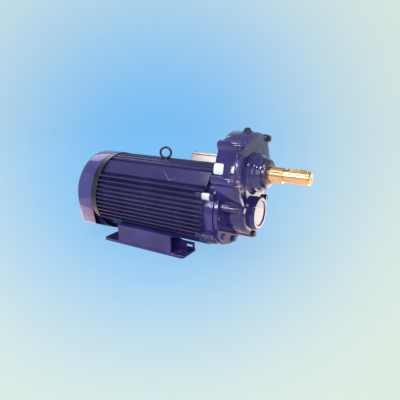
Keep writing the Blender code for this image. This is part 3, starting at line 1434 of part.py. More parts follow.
def build_gearmotor():
    """Build every piece on its own axis."""
    remove_everything()
    paint = make_material("enamel", (0.07, 0.06, 0.20), 0.35)
    dark_paint = make_material("dark_enamel", (0.05, 0.045, 0.13), 0.4)
    steel = make_material("bright_steel", (0.72, 0.66, 0.58), 0.28, 1.0)
    bolt_steel = make_material("black_steel", (0.03, 0.03, 0.035), 0.5, 0.6)
    gear_steel = make_material("gear_steel", (0.45, 0.45, 0.47), 0.35, 1.0)
    iron = make_material("core_iron", (0.22, 0.22, 0.23), 0.55, 0.8)
    copper = make_material("winding_copper", (0.50, 0.18, 0.07), 0.5, 0.6)
    aluminium = make_material("cast_aluminium", (0.60, 0.60, 0.62), 0.45, 1.0)
    rubber = make_material("seal_rubber", (0.02, 0.02, 0.02), 0.7)
    plastic = make_material("black_plastic", (0.03, 0.03, 0.03), 0.5)

    origin = make_empty("gearmotor_origin", (-MIDDLE_X, 0.0, 0.0))
    motor_axis = make_empty("motor_axis", (0.0, 0.0, AXIS_HEIGHT), origin)
    output_axis = make_empty("output_axis", (0.0, 0.0, OUTPUT_HEIGHT), origin)

    build_motor_frame(motor_axis, paint)
    build_foot("foot_left", -1, origin, paint)
    build_foot("foot_right", 1, origin, paint)
    build_rear_shield(motor_axis, paint)
    build_drive_shield(motor_axis, paint)
    build_fan_cowl(motor_axis, paint)
    build_eyebolt(motor_axis, bolt_steel)
    build_terminal_box(motor_axis, paint, rubber, plastic)
    build_stator(motor_axis, iron, copper)

    build_gear_case(motor_axis, paint)
    build_cover_gasket(motor_axis, rubber)
    build_gear_cover(motor_axis, paint)
    build_pinion_cap(motor_axis, paint)
    build_seal_cap(output_axis, dark_paint)
    build_bolts(motor_axis, bolt_steel)
    build_plugs(motor_axis, bolt_steel)
    motor_seal_x = CAVITY_REAR_X - OIL_SEAL_WIDTH - SEAT_GAP
    build_oil_seal("motor_oil_seal", motor_seal_x, DRIVE_BEARING[0], motor_axis, rubber)
    output_seal_x = HUB_FRONT_X - OIL_SEAL_WIDTH - SEAT_GAP
    build_oil_seal("output_oil_seal", output_seal_x, OUTPUT_FRONT_BEARING[0], output_axis, rubber)

    build_motor_shaft(motor_axis, gear_steel)
    build_rotor(motor_axis, iron, aluminium)
    build_cooling_fan(motor_axis, plastic)
    build_motor_pinion(motor_axis, gear_steel)
    build_bearing("rear_bearing", REAR_BEARING, rear_bearing_x(), motor_axis, motor_axis, gear_steel)
    build_bearing("drive_bearing", DRIVE_BEARING, drive_bearing_x(), motor_axis, motor_axis, gear_steel)
    build_bearing("pinion_bearing", PINION_BEARING, PINION_BEARING_X, motor_axis, motor_axis, gear_steel)

    build_output_shaft(output_axis, steel)
    build_output_gear(output_axis, gear_steel)
    build_bearing("output_rear_bearing", OUTPUT_REAR_BEARING, OUTPUT_REAR_BEARING_X,
                  output_axis, output_axis, gear_steel)
    build_bearing("output_front_bearing", OUTPUT_FRONT_BEARING, OUTPUT_FRONT_BEARING_X,
                  output_axis, output_axis, gear_steel)


build_gearmotor()
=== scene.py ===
"""Looks of the foot-mounted helical gearmotor: studio, finishes and finely made pieces.

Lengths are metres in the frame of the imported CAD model: +Z is up and +X points out of the output
shaft. The motor turns about a lower axis, and the output shaft about a second one above it.
"""

import logging
from dataclasses import dataclass, field
from enum import Enum
from math import cos, pi, radians, sin, sqrt
from typing import Any, Optional, Sequence, Union

import bmesh
import bpy
import numpy as np
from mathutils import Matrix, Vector


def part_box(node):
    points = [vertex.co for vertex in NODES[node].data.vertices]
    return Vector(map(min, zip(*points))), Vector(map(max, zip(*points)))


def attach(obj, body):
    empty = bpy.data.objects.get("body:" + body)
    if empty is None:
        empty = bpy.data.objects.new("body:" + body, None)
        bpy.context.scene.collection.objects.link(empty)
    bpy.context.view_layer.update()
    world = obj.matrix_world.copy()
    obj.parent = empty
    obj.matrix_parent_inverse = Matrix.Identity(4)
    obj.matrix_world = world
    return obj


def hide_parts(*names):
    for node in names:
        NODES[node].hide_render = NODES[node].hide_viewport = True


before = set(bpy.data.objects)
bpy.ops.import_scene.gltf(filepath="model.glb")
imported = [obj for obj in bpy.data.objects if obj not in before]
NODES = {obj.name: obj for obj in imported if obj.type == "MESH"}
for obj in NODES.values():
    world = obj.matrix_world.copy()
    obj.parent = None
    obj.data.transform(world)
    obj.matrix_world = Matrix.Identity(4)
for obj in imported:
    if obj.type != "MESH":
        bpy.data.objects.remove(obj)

LOG = logging.getLogger("gearmotor")
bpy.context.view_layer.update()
Colour = tuple[float, float, float]
Point = tuple[float, float, float]


class Body(str, Enum):
    """The CAD bodies that a piece can move with."""

    HOUSING = "housing"
    ROTOR = "rotor"
    OUTPUT = "output"


class Slot(str, Enum):
    """The record's material slots."""

    ENAMEL = "enamel"
    DARK_ENAMEL = "dark_enamel"
    BRIGHT_STEEL = "bright_steel"
    BLACK_STEEL = "black_steel"
    GEAR_STEEL = "gear_steel"
    CORE_IRON = "core_iron"
    WINDING_COPPER = "winding_copper"
    CAST_ALUMINIUM = "cast_aluminium"
    SEAL_RUBBER = "seal_rubber"
    BLACK_PLASTIC = "black_plastic"


class Field:
    """A number that varies over a surface: one socket, whose arithmetic adds Math nodes."""

    def __init__(self, graph: "Graph", socket: bpy.types.NodeSocket) -> None:
        """Wraps a socket of the graph."""
        self.graph = graph
        self.socket = socket

    def _math(self, operation: str, *values: "Input") -> "Field":
        """Adds a Math node.

        Args:
            operation: the Math node's operation.
            values: its inputs, in order.

        Returns:
            The node's result.
        """
        made = self.graph.node("ShaderNodeMath", {"operation": operation}, dict(enumerate(values)))
        return Field(self.graph, made.outputs[0])

    def __add__(self, other: "Input") -> "Field":
        """Sum."""
        return self._math("ADD", self, other)

    __radd__ = __add__

    def __sub__(self, other: "Input") -> "Field":
        """Difference."""
        return self._math("SUBTRACT", self, other)

    def __rsub__(self, other: "Input") -> "Field":
        """Difference with this field taken away."""
        return self._math("SUBTRACT", other, self)

    def __mul__(self, other: "Input") -> "Field":
        """Product."""
        return self._math("MULTIPLY", self, other)

    __rmul__ = __mul__

    def angle(self) -> "Field":
        """Angle in radians whose cosine the field is."""
        return self._math("ARCCOSINE", self)

    def wave(self) -> "Field":
        """Sine of the field in radians."""
        return self._math("SINE", self)

    def most(self, other: "Input") -> "Field":
        """The larger of the two."""
        return self._math("MAXIMUM", self, other)

    def step(self, low: float, high: float) -> "Field":
        """Rises smoothly from 0 at low to 1 at high, or falls where low is the larger.

        Args:
            low: where the result is 0.
            high: where the result is 1.

        Returns:
            The smooth step.
        """
        turned_round = low > high
        made = self.graph.node(
            "ShaderNodeMapRange",
            {"interpolation_type": "SMOOTHSTEP", "clamp": True},
            {0: self, 1: min(low, high), 2: max(low, high), 3: 0.0, 4: 1.0},
        )
        rising = Field(self.graph, made.outputs[0])
        return 1.0 - rising if turned_round else rising


Input = Union[Field, bpy.types.NodeSocket, float, int, tuple]


class Graph:
    """The node tree of one material, with its Principled shader."""

    def __init__(self, name: str) -> None:
        """Starts a material of that name."""
        self.material = bpy.data.materials.new(name)
        self.material.use_nodes = True
        self.tree = self.material.node_tree
        self.shader = self.tree.nodes["Principled BSDF"]

    def node(
        self,
        kind: str,
        settings: Optional[dict[str, Any]] = None,
        inputs: Optional[dict[Union[int, str], Input]] = None,
    ) -> bpy.types.Node:
        """Adds a node, sets it up and joins its inputs.

        Args:
            kind: the node's type.
            settings: its own settings, set first.
            inputs: values or links by socket number or name.

        Returns:
            The node.
        """
        made = self.tree.nodes.new(kind)
        for key, value in (settings or {}).items():
            setattr(made, key, value)
        for key, value in (inputs or {}).items():
            self.join(value, made.inputs[key])
        return made

    def join(self, value: Input, target: bpy.types.NodeSocket) -> None:
        """Links a field or socket to an input, or sets the input to a constant.

        Args:
            value: what goes in.
            target: the input socket.
        """
        if isinstance(value, Field):
            self.tree.links.new(value.socket, target)
        elif isinstance(value, bpy.types.NodeSocket):
            self.tree.links.new(value, target)
        elif isinstance(value, tuple) and target.type == "RGBA" and len(value) == 3:
            target.default_value = (*value, 1.0)
        else:
            target.default_value = value

    def place(self, scale: Point = (1.0, 1.0, 1.0), shift: Point = (0.0, 0.0, 0.0)) -> bpy.types.NodeSocket:
        """Object coordinates, scaled and shifted.

        Args:
            scale: factor along each axis.
            shift: added after the scale.

        Returns:
            The vector socket.
        """
        coordinates = self.node("ShaderNodeTexCoord")
        mapping = self.node(
            "ShaderNodeMapping",
            {"vector_type": "POINT"},
            {"Vector": coordinates.outputs["Object"], "Location": shift, "Scale": scale},
        )
        return mapping.outputs[0]

    def axes(self, vector: Optional[bpy.types.NodeSocket] = None) -> tuple[Field, Field, Field]:
        """The three coordinates of a vector, Object coordinates where none is given."""
        parts = self.node("ShaderNodeSeparateXYZ", None, {0: vector or self.place()})
        return tuple(Field(self, socket) for socket in parts.outputs)

    def facing(self) -> tuple[Field, Field, Field]:
        """The three parts of the surface's own normal."""
        return self.axes(self.node("ShaderNodeNewGeometry").outputs["Normal"])

    def noise(
        self, scale: float, detail: float = 2.0, vector: Optional[bpy.types.NodeSocket] = None
    ) -> Field:
        """Smooth noise, about 0.5 on average.

        Args:
            scale: how many features fit in a metre.
            detail: octaves of finer noise.
            vector: the coordinates, Object coordinates where none are given.

        Returns:
            The noise's value.
        """
        made = self.node(
            "ShaderNodeTexNoise",
            {"noise_dimensions": "3D"},
            {"Vector": vector or self.place(), "Scale": scale, "Detail": detail, "Roughness": 0.55},
        )
        return Field(self, made.outputs[0])

    def cells(self, scale: float) -> Field:
        """Distance to the nearest of points scattered in space, scale of them in a metre."""
        made = self.node("ShaderNodeTexVoronoi", {"feature": "F1"}, {"Vector": self.place(), "Scale": scale})
        return Field(self, made.outputs["Distance"])

    def mix(self, factor: Input, first: Input, second: Input) -> bpy.types.NodeSocket:
        """Mixes two colours.

        Args:
            factor: 0 gives the first and 1 the second.
            first: a colour.
            second: a colour.

        Returns:
            The mixed colour's socket.
        """
        made = self.node(
            "ShaderNodeMix", {"data_type": "RGBA", "clamp_factor": True}, {0: factor, 6: first, 7: second}
        )
        return made.outputs[2]

    def distance(self, point: Point, scale: Point = (1.0, 1.0, 1.0)) -> Field:
        """Distance of a surface point from a fixed point, with each axis scaled first.

        Args:
            point: the fixed point.
            scale: weight of each axis.

        Returns:
            The distance.
        """
        away = tuple(-a * b for a, b in zip(point, scale))
        made = self.node("ShaderNodeVectorMath", {"operation": "LENGTH"}, {0: self.place(scale, away)})
        return Field(self, made.outputs["Value"])

    def bump(
        self, height: Field, depth: float, onto: Optional[bpy.types.NodeSocket] = None
    ) -> bpy.types.NodeSocket:
        """A bump from a height field.

        Args:
            height: 0 to 1.
            depth: metres between 0 and 1.
            onto: a normal that the bump is added to.

        Returns:
            The normal socket.
        """
        inputs: dict[Union[int, str], Input] = {"Strength": 1.0, "Distance": depth, "Height": height}
        if onto is not None:
            inputs["Normal"] = onto
        return self.node("ShaderNodeBump", None, inputs).outputs[0]

    def dress(self, **inputs: Input) -> bpy.types.Material:
        """Joins the shader's inputs, named with underscores, and gives the material."""
        for key, value in inputs.items():
            self.join(value, self.shader.inputs[key.replace("_", " ")])
        return self.material


@dataclass(frozen=True)
class Finish:
    """A finish by name. A subclass says how its nodes are joined, and each is made once."""

    name: str
    slot: Slot

    def paint(self, graph: Graph) -> bpy.types.Material:
        """Joins the nodes of the finish."""
        raise NotImplementedError

    def material(self) -> bpy.types.Material:
        """The Blender material, made the first time it is asked for."""
        found = bpy.data.materials.get("finish_" + self.name)
        return found or self.paint(Graph("finish_" + self.name))


@dataclass(frozen=True)
class Enamel(Finish):
    """Glossy machine enamel over a casting or a pressed sheet.

    The colour drifts between two tones, dust greys what faces up, fine speckles and small pits darken it,
    and its skin has long waves, an orange peel and the grain of the metal under it.
    """

    light: Colour = (0.046, 0.034, 0.205)
    deep: Colour = (0.028, 0.021, 0.135)
    dust: Colour = (0.20, 0.18, 0.24)
    pit: Colour = (0.02, 0.018, 0.05)
    gloss: float = 0.06
    grain: float = 0.00003
    orange_peel: float = 0.00002
    waviness: float = 0.00030
    soiling: float = 0.10

    def paint(self, graph: Graph) -> bpy.types.Material:
        """Joins the nodes of the enamel."""
        drift = graph.noise(14.0, 3.0).step(0.35, 0.68)
        speckle = graph.noise(420.0, 2.0)
        _, _, up = graph.facing()
        film = up.step(0.35, 0.95) * graph.noise(30.0, 4.0).step(0.30, 0.75)
        pits = graph.cells(170.0).step(0.10, 0.04) * graph.noise(23.0, 1.0).step(0.52, 0.62)
        tone = graph.mix(drift, self.deep, self.light)
        tone = graph.mix(speckle.step(0.2, 0.8) * 0.16, tone, self.deep)
        tone = graph.mix(film * self.soiling, tone, self.dust)
        tone = graph.mix(pits * 0.35, tone, self.pit)
        rough = self.gloss + 0.05 * graph.noise(26.0, 3.0) + 0.30 * film * self.soiling + 0.2 * pits
        skin = graph.bump(graph.noise(38.0, 1.0), self.waviness)
        skin = graph.bump(graph.noise(620.0, 2.0), self.orange_peel, skin)
        skin = graph.bump(graph.noise(300.0, 3.0), self.grain, skin)
        return graph.dress(Base_Color=tone, Roughness=rough, Normal=skin, IOR=1.45)


@dataclass(frozen=True)
class TurnedSteel(Finish):
    """Steel turned or ground about an axis along X, with fine rings, an oil film and faint stains."""

    # The default golden-brown tint, used by the shafts and the key, is partly an oil film and partly a
    # painted warm reflection.
    tint: Colour = (0.60, 0.38, 0.20)
    stain: Colour = (0.46, 0.24, 0.10)
    groove_share: float = 0.6
    gloss: float = 0.14
    rings: float = 1400.0
    ring_depth: float = 0.000004
    stains: float = 0.35

    def paint(self, graph: Graph) -> bpy.types.Material:
        """Joins the nodes of the steel. The rings are noise that is stretched round the axis."""
        lathe = graph.noise(self.rings, 2.0, graph.place((1.0, 0.012, 0.012)))
        film = graph.noise(34.0, 4.0).step(0.42, 0.72)
        tone = graph.mix(film * self.stains, self.tint, self.stain)
        tone = graph.mix(lathe.step(0.3, 0.7) * 0.18, tone, tuple(self.groove_share * c for c in self.tint))
        rough = self.gloss + 0.06 * lathe + 0.10 * film
        return graph.dress(
            Base_Color=tone,
            Metallic=1.0,
            Roughness=rough,
            Normal=graph.bump(lathe, self.ring_depth),
            IOR=2.0,
        )


@dataclass(frozen=True)
class BlackedSteel(Finish):
    """Oil-blackened steel of bolts and the eyebolt, a little brown and worn brighter in patches."""

    tint: Colour = (0.018, 0.017, 0.022)
    worn: Colour = (0.16, 0.14, 0.13)
    gloss: float = 0.30

    def paint(self, graph: Graph) -> bpy.types.Material:
        """Joins the nodes of the blackened steel."""
        patches = graph.noise(240.0, 3.0).step(0.58, 0.78)
        scale = graph.noise(900.0, 2.0)
        tone = graph.mix(patches * 0.45, self.tint, self.worn)
        return graph.dress(
            Base_Color=tone,
            Metallic=0.75,
            Roughness=self.gloss + 0.2 * scale,
            Normal=graph.bump(scale, 0.00002),
            Coat_Weight=0.3,
            Coat_Roughness=0.15,
        )


@dataclass(frozen=True)
class CastMetal(Finish):
    """Bare cast metal: grained, dull, with darker hollows."""

    tint: Colour = (0.52, 0.52, 0.54)
    hollow: Colour = (0.26, 0.26, 0.28)
    gloss: float = 0.42
    depth: float = 0.00010

    def paint(self, graph: Graph) -> bpy.types.Material:
        """Joins the nodes of the unpainted casting."""
        sand = graph.noise(420.0, 4.0)
        cloud = graph.noise(30.0, 2.0)
        tone = graph.mix(sand.step(0.62, 0.32) * 0.5 + cloud.step(0.4, 0.8) * 0.25, self.tint, self.hollow)
        return graph.dress(
            Base_Color=tone,
            Metallic=0.9,
            Roughness=self.gloss + 0.15 * sand,
            Normal=graph.bump(sand, self.depth),
        )


@dataclass(frozen=True)
class Laminations(Finish):
    """A stack of thin iron sheets along X, varnished: a groove every pitch."""

    tint: Colour = (0.20, 0.19, 0.19)
    groove: Colour = (0.06, 0.05, 0.045)
    pitch: float = 0.0015

    def paint(self, graph: Graph) -> bpy.types.Material:
        """Joins the nodes of the stack. A groove is where the sine along X is near its lowest."""
        along, _, _ = graph.axes()
        seam = (along * (2 * pi / self.pitch)).wave().step(-0.2, -0.95)
        tone = graph.mix(seam, self.tint, self.groove)
        varnish = graph.noise(60.0, 3.0)
        return graph.dress(
            Base_Color=graph.mix(varnish.step(0.5, 0.8) * 0.4, tone, (0.12, 0.07, 0.03)),
            Metallic=0.6,
            Roughness=0.35 + 0.2 * varnish,
            Normal=graph.bump(1.0 - seam, 0.00010),
        )


@dataclass(frozen=True)
class EnamelledWire(Finish):
    """Wound copper wire under varnish: strands round the motor axis, with gaps between them."""

    tint: Colour = (0.46, 0.17, 0.06)
    gap: Colour = (0.10, 0.03, 0.01)
    wire: float = 0.0022
    axis_height: float = 0.132

    def paint(self, graph: Graph) -> bpy.types.Material:
        """Joins the nodes. Strands are sines of the distance from the axis and of the place along it."""
        along, _, _ = graph.axes()
        out = graph.distance((0.0, 0.0, self.axis_height), (0.0, 1.0, 1.0))
        sway = graph.noise(40.0, 1.0) * 9.0
        strand = (out * (2 * pi / self.wire) + sway).wave() * 0.5
        strand = strand + (along * (2 * pi / self.wire) + sway).wave() * 0.5
        hollow = strand.step(-0.1, -0.6)
        return graph.dress(
            Base_Color=graph.mix(hollow, self.tint, self.gap),
            Metallic=0.3,
            Roughness=0.22 + 0.2 * hollow,
            Normal=graph.bump(strand * 0.5 + 0.5, 0.0004),
            Coat_Weight=0.6,
            Coat_Roughness=0.1,
        )


@dataclass(frozen=True)
class Moulded(Finish):
    """Rubber or plastic: fine moulded grain and faint bloom."""

    tint: Colour = (0.02, 0.02, 0.022)
    bloom: Colour = (0.07, 0.07, 0.075)
    gloss: float = 0.5
    depth: float = 0.00004

    def paint(self, graph: Graph) -> bpy.types.Material:
        """Joins the nodes of the moulding."""
        grain = graph.noise(1300.0, 2.0)
        cloud = graph.noise(45.0, 4.0).step(0.4, 0.8)
        return graph.dress(
            Base_Color=graph.mix(cloud * 0.5, self.tint, self.bloom),
            Roughness=self.gloss + 0.18 * grain,
            Normal=graph.bump(grain, self.depth),
        )


@dataclass(frozen=True)
class HighlightLabel(Finish):
    """A blank glossy label of white film, slightly yellowed and rubbed in patches. Its white stands in part
    for a bright reflection: a painted highlight.
    """

    tint: Colour = (0.82, 0.82, 0.84)
    rubbed: Colour = (0.45, 0.42, 0.44)

    def paint(self, graph: Graph) -> bpy.types.Material:
        """Joins the nodes of the label."""
        scuff = graph.noise(160.0, 5.0).step(0.60, 0.80)
        haze = graph.noise(50.0, 2.0)
        tone = graph.mix(haze * 0.25, self.tint, (0.72, 0.70, 0.70))
        return graph.dress(
            Base_Color=graph.mix(scuff * 0.5, tone, self.rubbed),
            Roughness=0.22 + 0.25 * scuff,
            Normal=graph.bump(graph.noise(240.0, 2.0), 0.00003),
            Coat_Weight=0.5,
            Coat_Roughness=0.08,
        )


ENAMEL = Enamel("enamel", Slot.ENAMEL)
# A lighter copy of the enamel for the fan cowl and its screws: painted light. Its finer grain and longer
# waves are the pressed sheet's own.
LIT_SHEET_ENAMEL = Enamel(
    "sheet_enamel", Slot.ENAMEL, light=(0.072, 0.054, 0.25), deep=(0.052, 0.040, 0.19), grain=0.00001,
    waviness=0.0004,
)
# A lighter copy of the enamel for the motor frame: painted light that lifts the shade in its fin channels.
LIT_FIN_ENAMEL = Enamel(
    "fin_enamel", Slot.ENAMEL, light=(0.050, 0.040, 0.165), deep=(0.036, 0.028, 0.125), waviness=0.0002,
    soiling=0.04,
)
# Darker enamel of the output seal cap; its slight brown tint is a painted reflection of the warm shaft.
DARK_ENAMEL = Enamel(
    "dark_enamel", Slot.DARK_ENAMEL, light=(0.060, 0.040, 0.135), deep=(0.032, 0.018, 0.06), gloss=0.16
)
# Light enamel of the panel's welt: a painted highlight along it.
CREASE_HIGHLIGHT_ENAMEL = Enamel("worn_enamel", Slot.ENAMEL, light=(0.17, 0.15, 0.32), deep=(0.12, 0.10, 0.26), gloss=0.2)
# Near-black enamel of the band between cowl and fins: painted shade.
SHADOW_ENAMEL = Enamel(
    "band_enamel", Slot.DARK_ENAMEL, light=(0.018, 0.015, 0.052), deep=(0.008, 0.007, 0.016), gloss=0.22
)
SHAFT_STEEL = TurnedSteel("shaft_steel", Slot.BRIGHT_STEEL)
RING_STEEL = TurnedSteel(
    "ring_steel", Slot.BRIGHT_STEEL, tint=(0.62, 0.62, 0.63), stain=(0.5, 0.45, 0.38), gloss=0.12, stains=0.2
)
GEAR_STEEL = TurnedSteel(
    "gear_steel", Slot.GEAR_STEEL, tint=(0.46, 0.45, 0.45), stain=(0.30, 0.25, 0.18), gloss=0.26,
    rings=900.0, ring_depth=0.00001,
)
BLACK_STEEL = BlackedSteel("black_steel", Slot.BLACK_STEEL)
LIFTING_STEEL = BlackedSteel("lifting_steel", Slot.BLACK_STEEL, tint=(0.016, 0.014, 0.03), gloss=0.22)
# Bare metal of the terminal box and its lid; its pinkish tint is a painted warm reflection.
LID_METAL = CastMetal("lid_metal", Slot.CAST_ALUMINIUM, tint=(0.50, 0.43, 0.42), hollow=(0.32, 0.27, 0.27))
END_RING_METAL = CastMetal("end_ring_metal", Slot.CAST_ALUMINIUM)
CORE_SHEETS = Laminations("core_sheets", Slot.CORE_IRON)
WINDING = EnamelledWire("winding", Slot.WINDING_COPPER)
SEAL_RUBBER = Moulded("seal_rubber", Slot.SEAL_RUBBER)
GASKET_PAPER = Moulded(
    "gasket_paper", Slot.SEAL_RUBBER, tint=(0.05, 0.045, 0.04), bloom=(0.11, 0.10, 0.08), gloss=0.7
)
BLACK_PLASTIC = Moulded(
    "black_plastic", Slot.BLACK_PLASTIC, tint=(0.018, 0.018, 0.02), bloom=(0.04, 0.04, 0.045), gloss=0.36
)
# White label film, partly a painted highlight where bright reflections fall.
HIGHLIGHT_LABEL_FILM = HighlightLabel("label_film", Slot.CAST_ALUMINIUM)


class Surface:
    """Grids of points gathered into one mesh, in the frame of the CAD model."""

    def __init__(self, name: str) -> None:
        """Starts an empty surface of that name."""
        self.name = name
        self.points: list[np.ndarray] = []
        self.quads: list[np.ndarray] = []
        self.count = 0

    def add(self, grid: np.ndarray, round_way: bool = False, along: bool = False) -> "Surface":
        """Adds a grid of points, joined by quads.

        A point's number is row times columns plus column, and a quad joins four neighbours.

        Args:
            grid: rows by columns by 3.
            round_way: whether the last column joins the first.
            along: whether the last row joins the first.

        Returns:
            This surface.
        """
        rows, columns = grid.shape[:2]
        row, column = np.meshgrid(
            np.arange(rows - (not along)), np.arange(columns - (not round_way)), indexing="ij"
        )
        next_row, next_column = (row + 1) % rows, (column + 1) % columns
        corners = [
            row * columns + column,
            row * columns + next_column,
            next_row * columns + next_column,
            next_row * columns + column,
        ]
        self.points.append(grid.reshape(-1, 3))
        self.quads.append(np.stack(corners, axis=-1).reshape(-1, 4) + self.count)
        self.count += rows * columns
        return self

    def mesh(self) -> bpy.types.Mesh:
        """One mesh of all grids, with doubles merged and each closed shell's faces turned outwards."""
        made = bpy.data.meshes.new(self.name)
        made.from_pydata(np.concatenate(self.points).tolist(), [], np.concatenate(self.quads).tolist())
        shell = bmesh.new()
        shell.from_mesh(made)
        bmesh.ops.remove_doubles(shell, verts=shell.verts, dist=2e-6)
        bmesh.ops.dissolve_degenerate(shell, edges=shell.edges, dist=1e-7)
        bmesh.ops.recalc_face_normals(shell, faces=shell.faces)
        shell.to_mesh(made)
        shell.free()
        return made


def settle(
    mesh: bpy.types.Mesh, finish: Finish, body: Body, stands_for: Sequence[str] = (), sharp: float = 35.0
) -> bpy.types.Object:
    """Puts a mesh into the scene as a piece: finish, smooth shading, body and the nodes it replaces.

    Args:
        mesh: the piece's mesh, in place.
        finish: its finish.
        body: the CAD body that it moves with.
        stands_for: CAD nodes that it replaces.
        sharp: edges of more than this many degrees stay sharp.

    Returns:
        The piece.
    """
    piece = bpy.data.objects.new(mesh.name, mesh)
    bpy.context.scene.collection.objects.link(piece)
    mesh.materials.clear()
    mesh.materials.append(finish.material())
    mesh.shade_smooth()
    mesh.set_sharp_from_angle(angle=radians(sharp))
    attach(piece, body.value)
    if stands_for:
        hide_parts(*stands_for)
    return piece


def eased(corners: Sequence[tuple[float, float]], radius: float, steps: int = 4) -> np.ndarray:
    """Rounds the inner corners of an open outline.

    Each corner c between points a and b that lie radius (or half a side) away from it becomes the
    curve (1 - t)² a + 2 t (1 - t) c + t² b.

    Args:
        corners: points of the outline.
        radius: distance from the corner at which the round starts.
        steps: points in each round, less one.

    Returns:
        The rounded outline, points by 2.
    """
    points = np.asarray(corners, dtype=float)
    sides = np.diff(points, axis=0)
    lengths = np.linalg.norm(sides, axis=1)
    reach = np.minimum(radius, np.minimum(lengths[:-1], lengths[1:]) * 0.45)[:, None]
    units = sides / lengths[:, None]
    middle = points[1:-1]
    before, after = middle - units[:-1] * reach, middle + units[1:] * reach
    t = np.linspace(0.0, 1.0, steps + 1)[None, :, None]
    curve = (1 - t) ** 2 * before[:, None] + 2 * t * (1 - t) * middle[:, None] + t**2 * after[:, None]
    return np.concatenate([points[:1], curve.reshape(-1, 2), points[-1:]])


def cross_axes(direction: Point) -> tuple[np.ndarray, np.ndarray, np.ndarray]:
    """A unit direction with two more at right angles to it."""
    along = np.asarray(direction, dtype=float)
    along = along / np.linalg.norm(along)
    side = np.cross(along, (0.0, 0.0, 1.0) if abs(along[2]) < 0.9 else (1.0, 0.0, 0.0))
    side = side / np.linalg.norm(side)
    return along, side, np.cross(along, side)


def turned(profile: np.ndarray, start: Point, direction: Point, sides: int = 64) -> np.ndarray:
    """A profile carried round an axis: start + d along + r (cos a side + sin a up).

    Args:
        profile: points of distance along the axis and radius.
        start: where the distance is 0.
        direction: the axis.
        sides: points round it.

    Returns:
        The grid, profile points by sides.
    """
    along, side, up = cross_axes(direction)
    angle = np.linspace(0.0, 2 * pi, sides, endpoint=False)
    ring = np.cos(angle)[:, None] * side + np.sin(angle)[:, None] * up
    return np.asarray(start) + profile[:, :1, None] * along + profile[:, 1:, None] * ring[None]


def many_sided(
    heights: np.ndarray, limits: np.ndarray, across: float, start: Point, direction: Point,
    corners: int = 6, sides: int = 72, turn: float = 0.0,
) -> np.ndarray:
    """A prism with a chamfered crown.

    At each angle the radius is the smaller of the flat's, across / 2 / cos(angle from the middle of
    the flat), and the row's own limit, which is the cone that turns the corners off.

    Args:
        heights: each row's distance along the axis.
        limits: each row's largest radius.
        across: distance across flats.
        start: where the distance is 0.
        direction: the axis.
        corners: number of flats.
        sides: points round the axis.
        turn: angle of the first flat's start.

    Returns:
        The grid, rows by sides.
    """
    along, side, up = cross_axes(direction)
    angle = np.linspace(0.0, 2 * pi, sides, endpoint=False)
    part = 2 * pi / corners
    flat = across / 2 / np.cos((angle % part) - part / 2)
    radius = np.minimum(flat[None, :], limits[:, None])
    ring = np.cos(angle + turn)[:, None] * side + np.sin(angle + turn)[:, None] * up
    return np.asarray(start) + heights[:, None, None] * along + radius[:, :, None] * ring[None]


def skin(node: str) -> bpy.types.Mesh:
    """A copy of a CAD node's mesh with its loose triangles merged."""
    source = NODES[node].data
    points = np.empty(len(source.vertices) * 3)
    source.vertices.foreach_get("co", points)
    corners = np.empty(len(source.loops), dtype=np.int32)
    source.loops.foreach_get("vertex_index", corners)
    copy = bpy.data.meshes.new(node + "_skin")
    copy.from_pydata(points.reshape(-1, 3).tolist(), [], corners.reshape(-1, 3).tolist())
    shell = bmesh.new()
    shell.from_mesh(copy)
    bmesh.ops.remove_doubles(shell, verts=shell.verts, dist=2e-6)
    bmesh.ops.dissolve_degenerate(shell, edges=shell.edges, dist=1e-6)
    shell.to_mesh(copy)
    shell.free()
    return copy


def rounded_casting(
    node: str, finish: Finish, body: Body, radius: float, sharp: float = 32.0, steps: int = 2
) -> bpy.types.Object:
    """A CAD node's shape with its edges rounded, standing for the node.

    Args:
        node: the CAD node.
        finish: its finish.
        body: the body that it moves with.
        radius: width of the rounding.
        sharp: angle from which an edge is rounded, in degrees.
        steps: faces across a rounded edge.

    Returns:
        The piece.
    """
    piece = settle(skin(node), finish, body, [node], sharp)
    bevel = piece.modifiers.new("rounded edges", "BEVEL")
    bevel.width = radius
    bevel.segments = steps
    bevel.limit_method = "ANGLE"
    bevel.angle_limit = radians(sharp)
    bevel.use_clamp_overlap = False
    bevel.harden_normals = True
    bevel.miter_outer = "MITER_ARC"
    return piece


def middle_of(node: str) -> np.ndarray:
    """The middle of a CAD node's box."""
    low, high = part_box(node)
    return (np.array(low) + np.array(high)) / 2


@dataclass(frozen=True)
class Lamp:
    """A soft rectangular lamp that the camera doesn't see.

    Its power is radiance times π times its area, so radiance is what a mirror shows of it. A lamp that
    is only mirrored lights nothing: it gives glossy surfaces a highlight.
    """

    name: str
    place: Point
    towards: Point
    size: tuple[float, float]
    radiance: float
    colour: Colour = (1.0, 0.98, 1.0)
    mirrored_only: bool = False

    def add(self) -> bpy.types.Object:
        """Puts the lamp into the scene."""
        data = bpy.data.lights.new(self.name, "AREA")
        data.shape = "RECTANGLE"
        data.size, data.size_y = self.size
        data.energy = self.radiance * pi * self.size[0] * self.size[1]
        data.color = self.colour
        lamp = bpy.data.objects.new(self.name, data)
        bpy.context.scene.collection.objects.link(lamp)
        lamp.location = self.place
        lamp.rotation_mode = "QUATERNION"
        lamp.rotation_quaternion = (Vector(self.towards) - Vector(self.place)).to_track_quat("-Z", "Y")
        lamp.visible_camera = False
        lamp.visible_diffuse = not self.mirrored_only
        return lamp


def floor_panel(
    name: str, place: Point, size: tuple[float, float], radiance: float, colour: Colour
) -> Lamp:
    """A mirrored panel that lies on the floor and faces up.

    Args:
        name: the panel's name.
        place: its middle.
        size: width and depth.
        radiance: brightness of its face.
        colour: its colour.

    Returns:
        The panel.
    """
    return Lamp(name, place, (place[0], place[1], 1.0), size, radiance, colour, True)


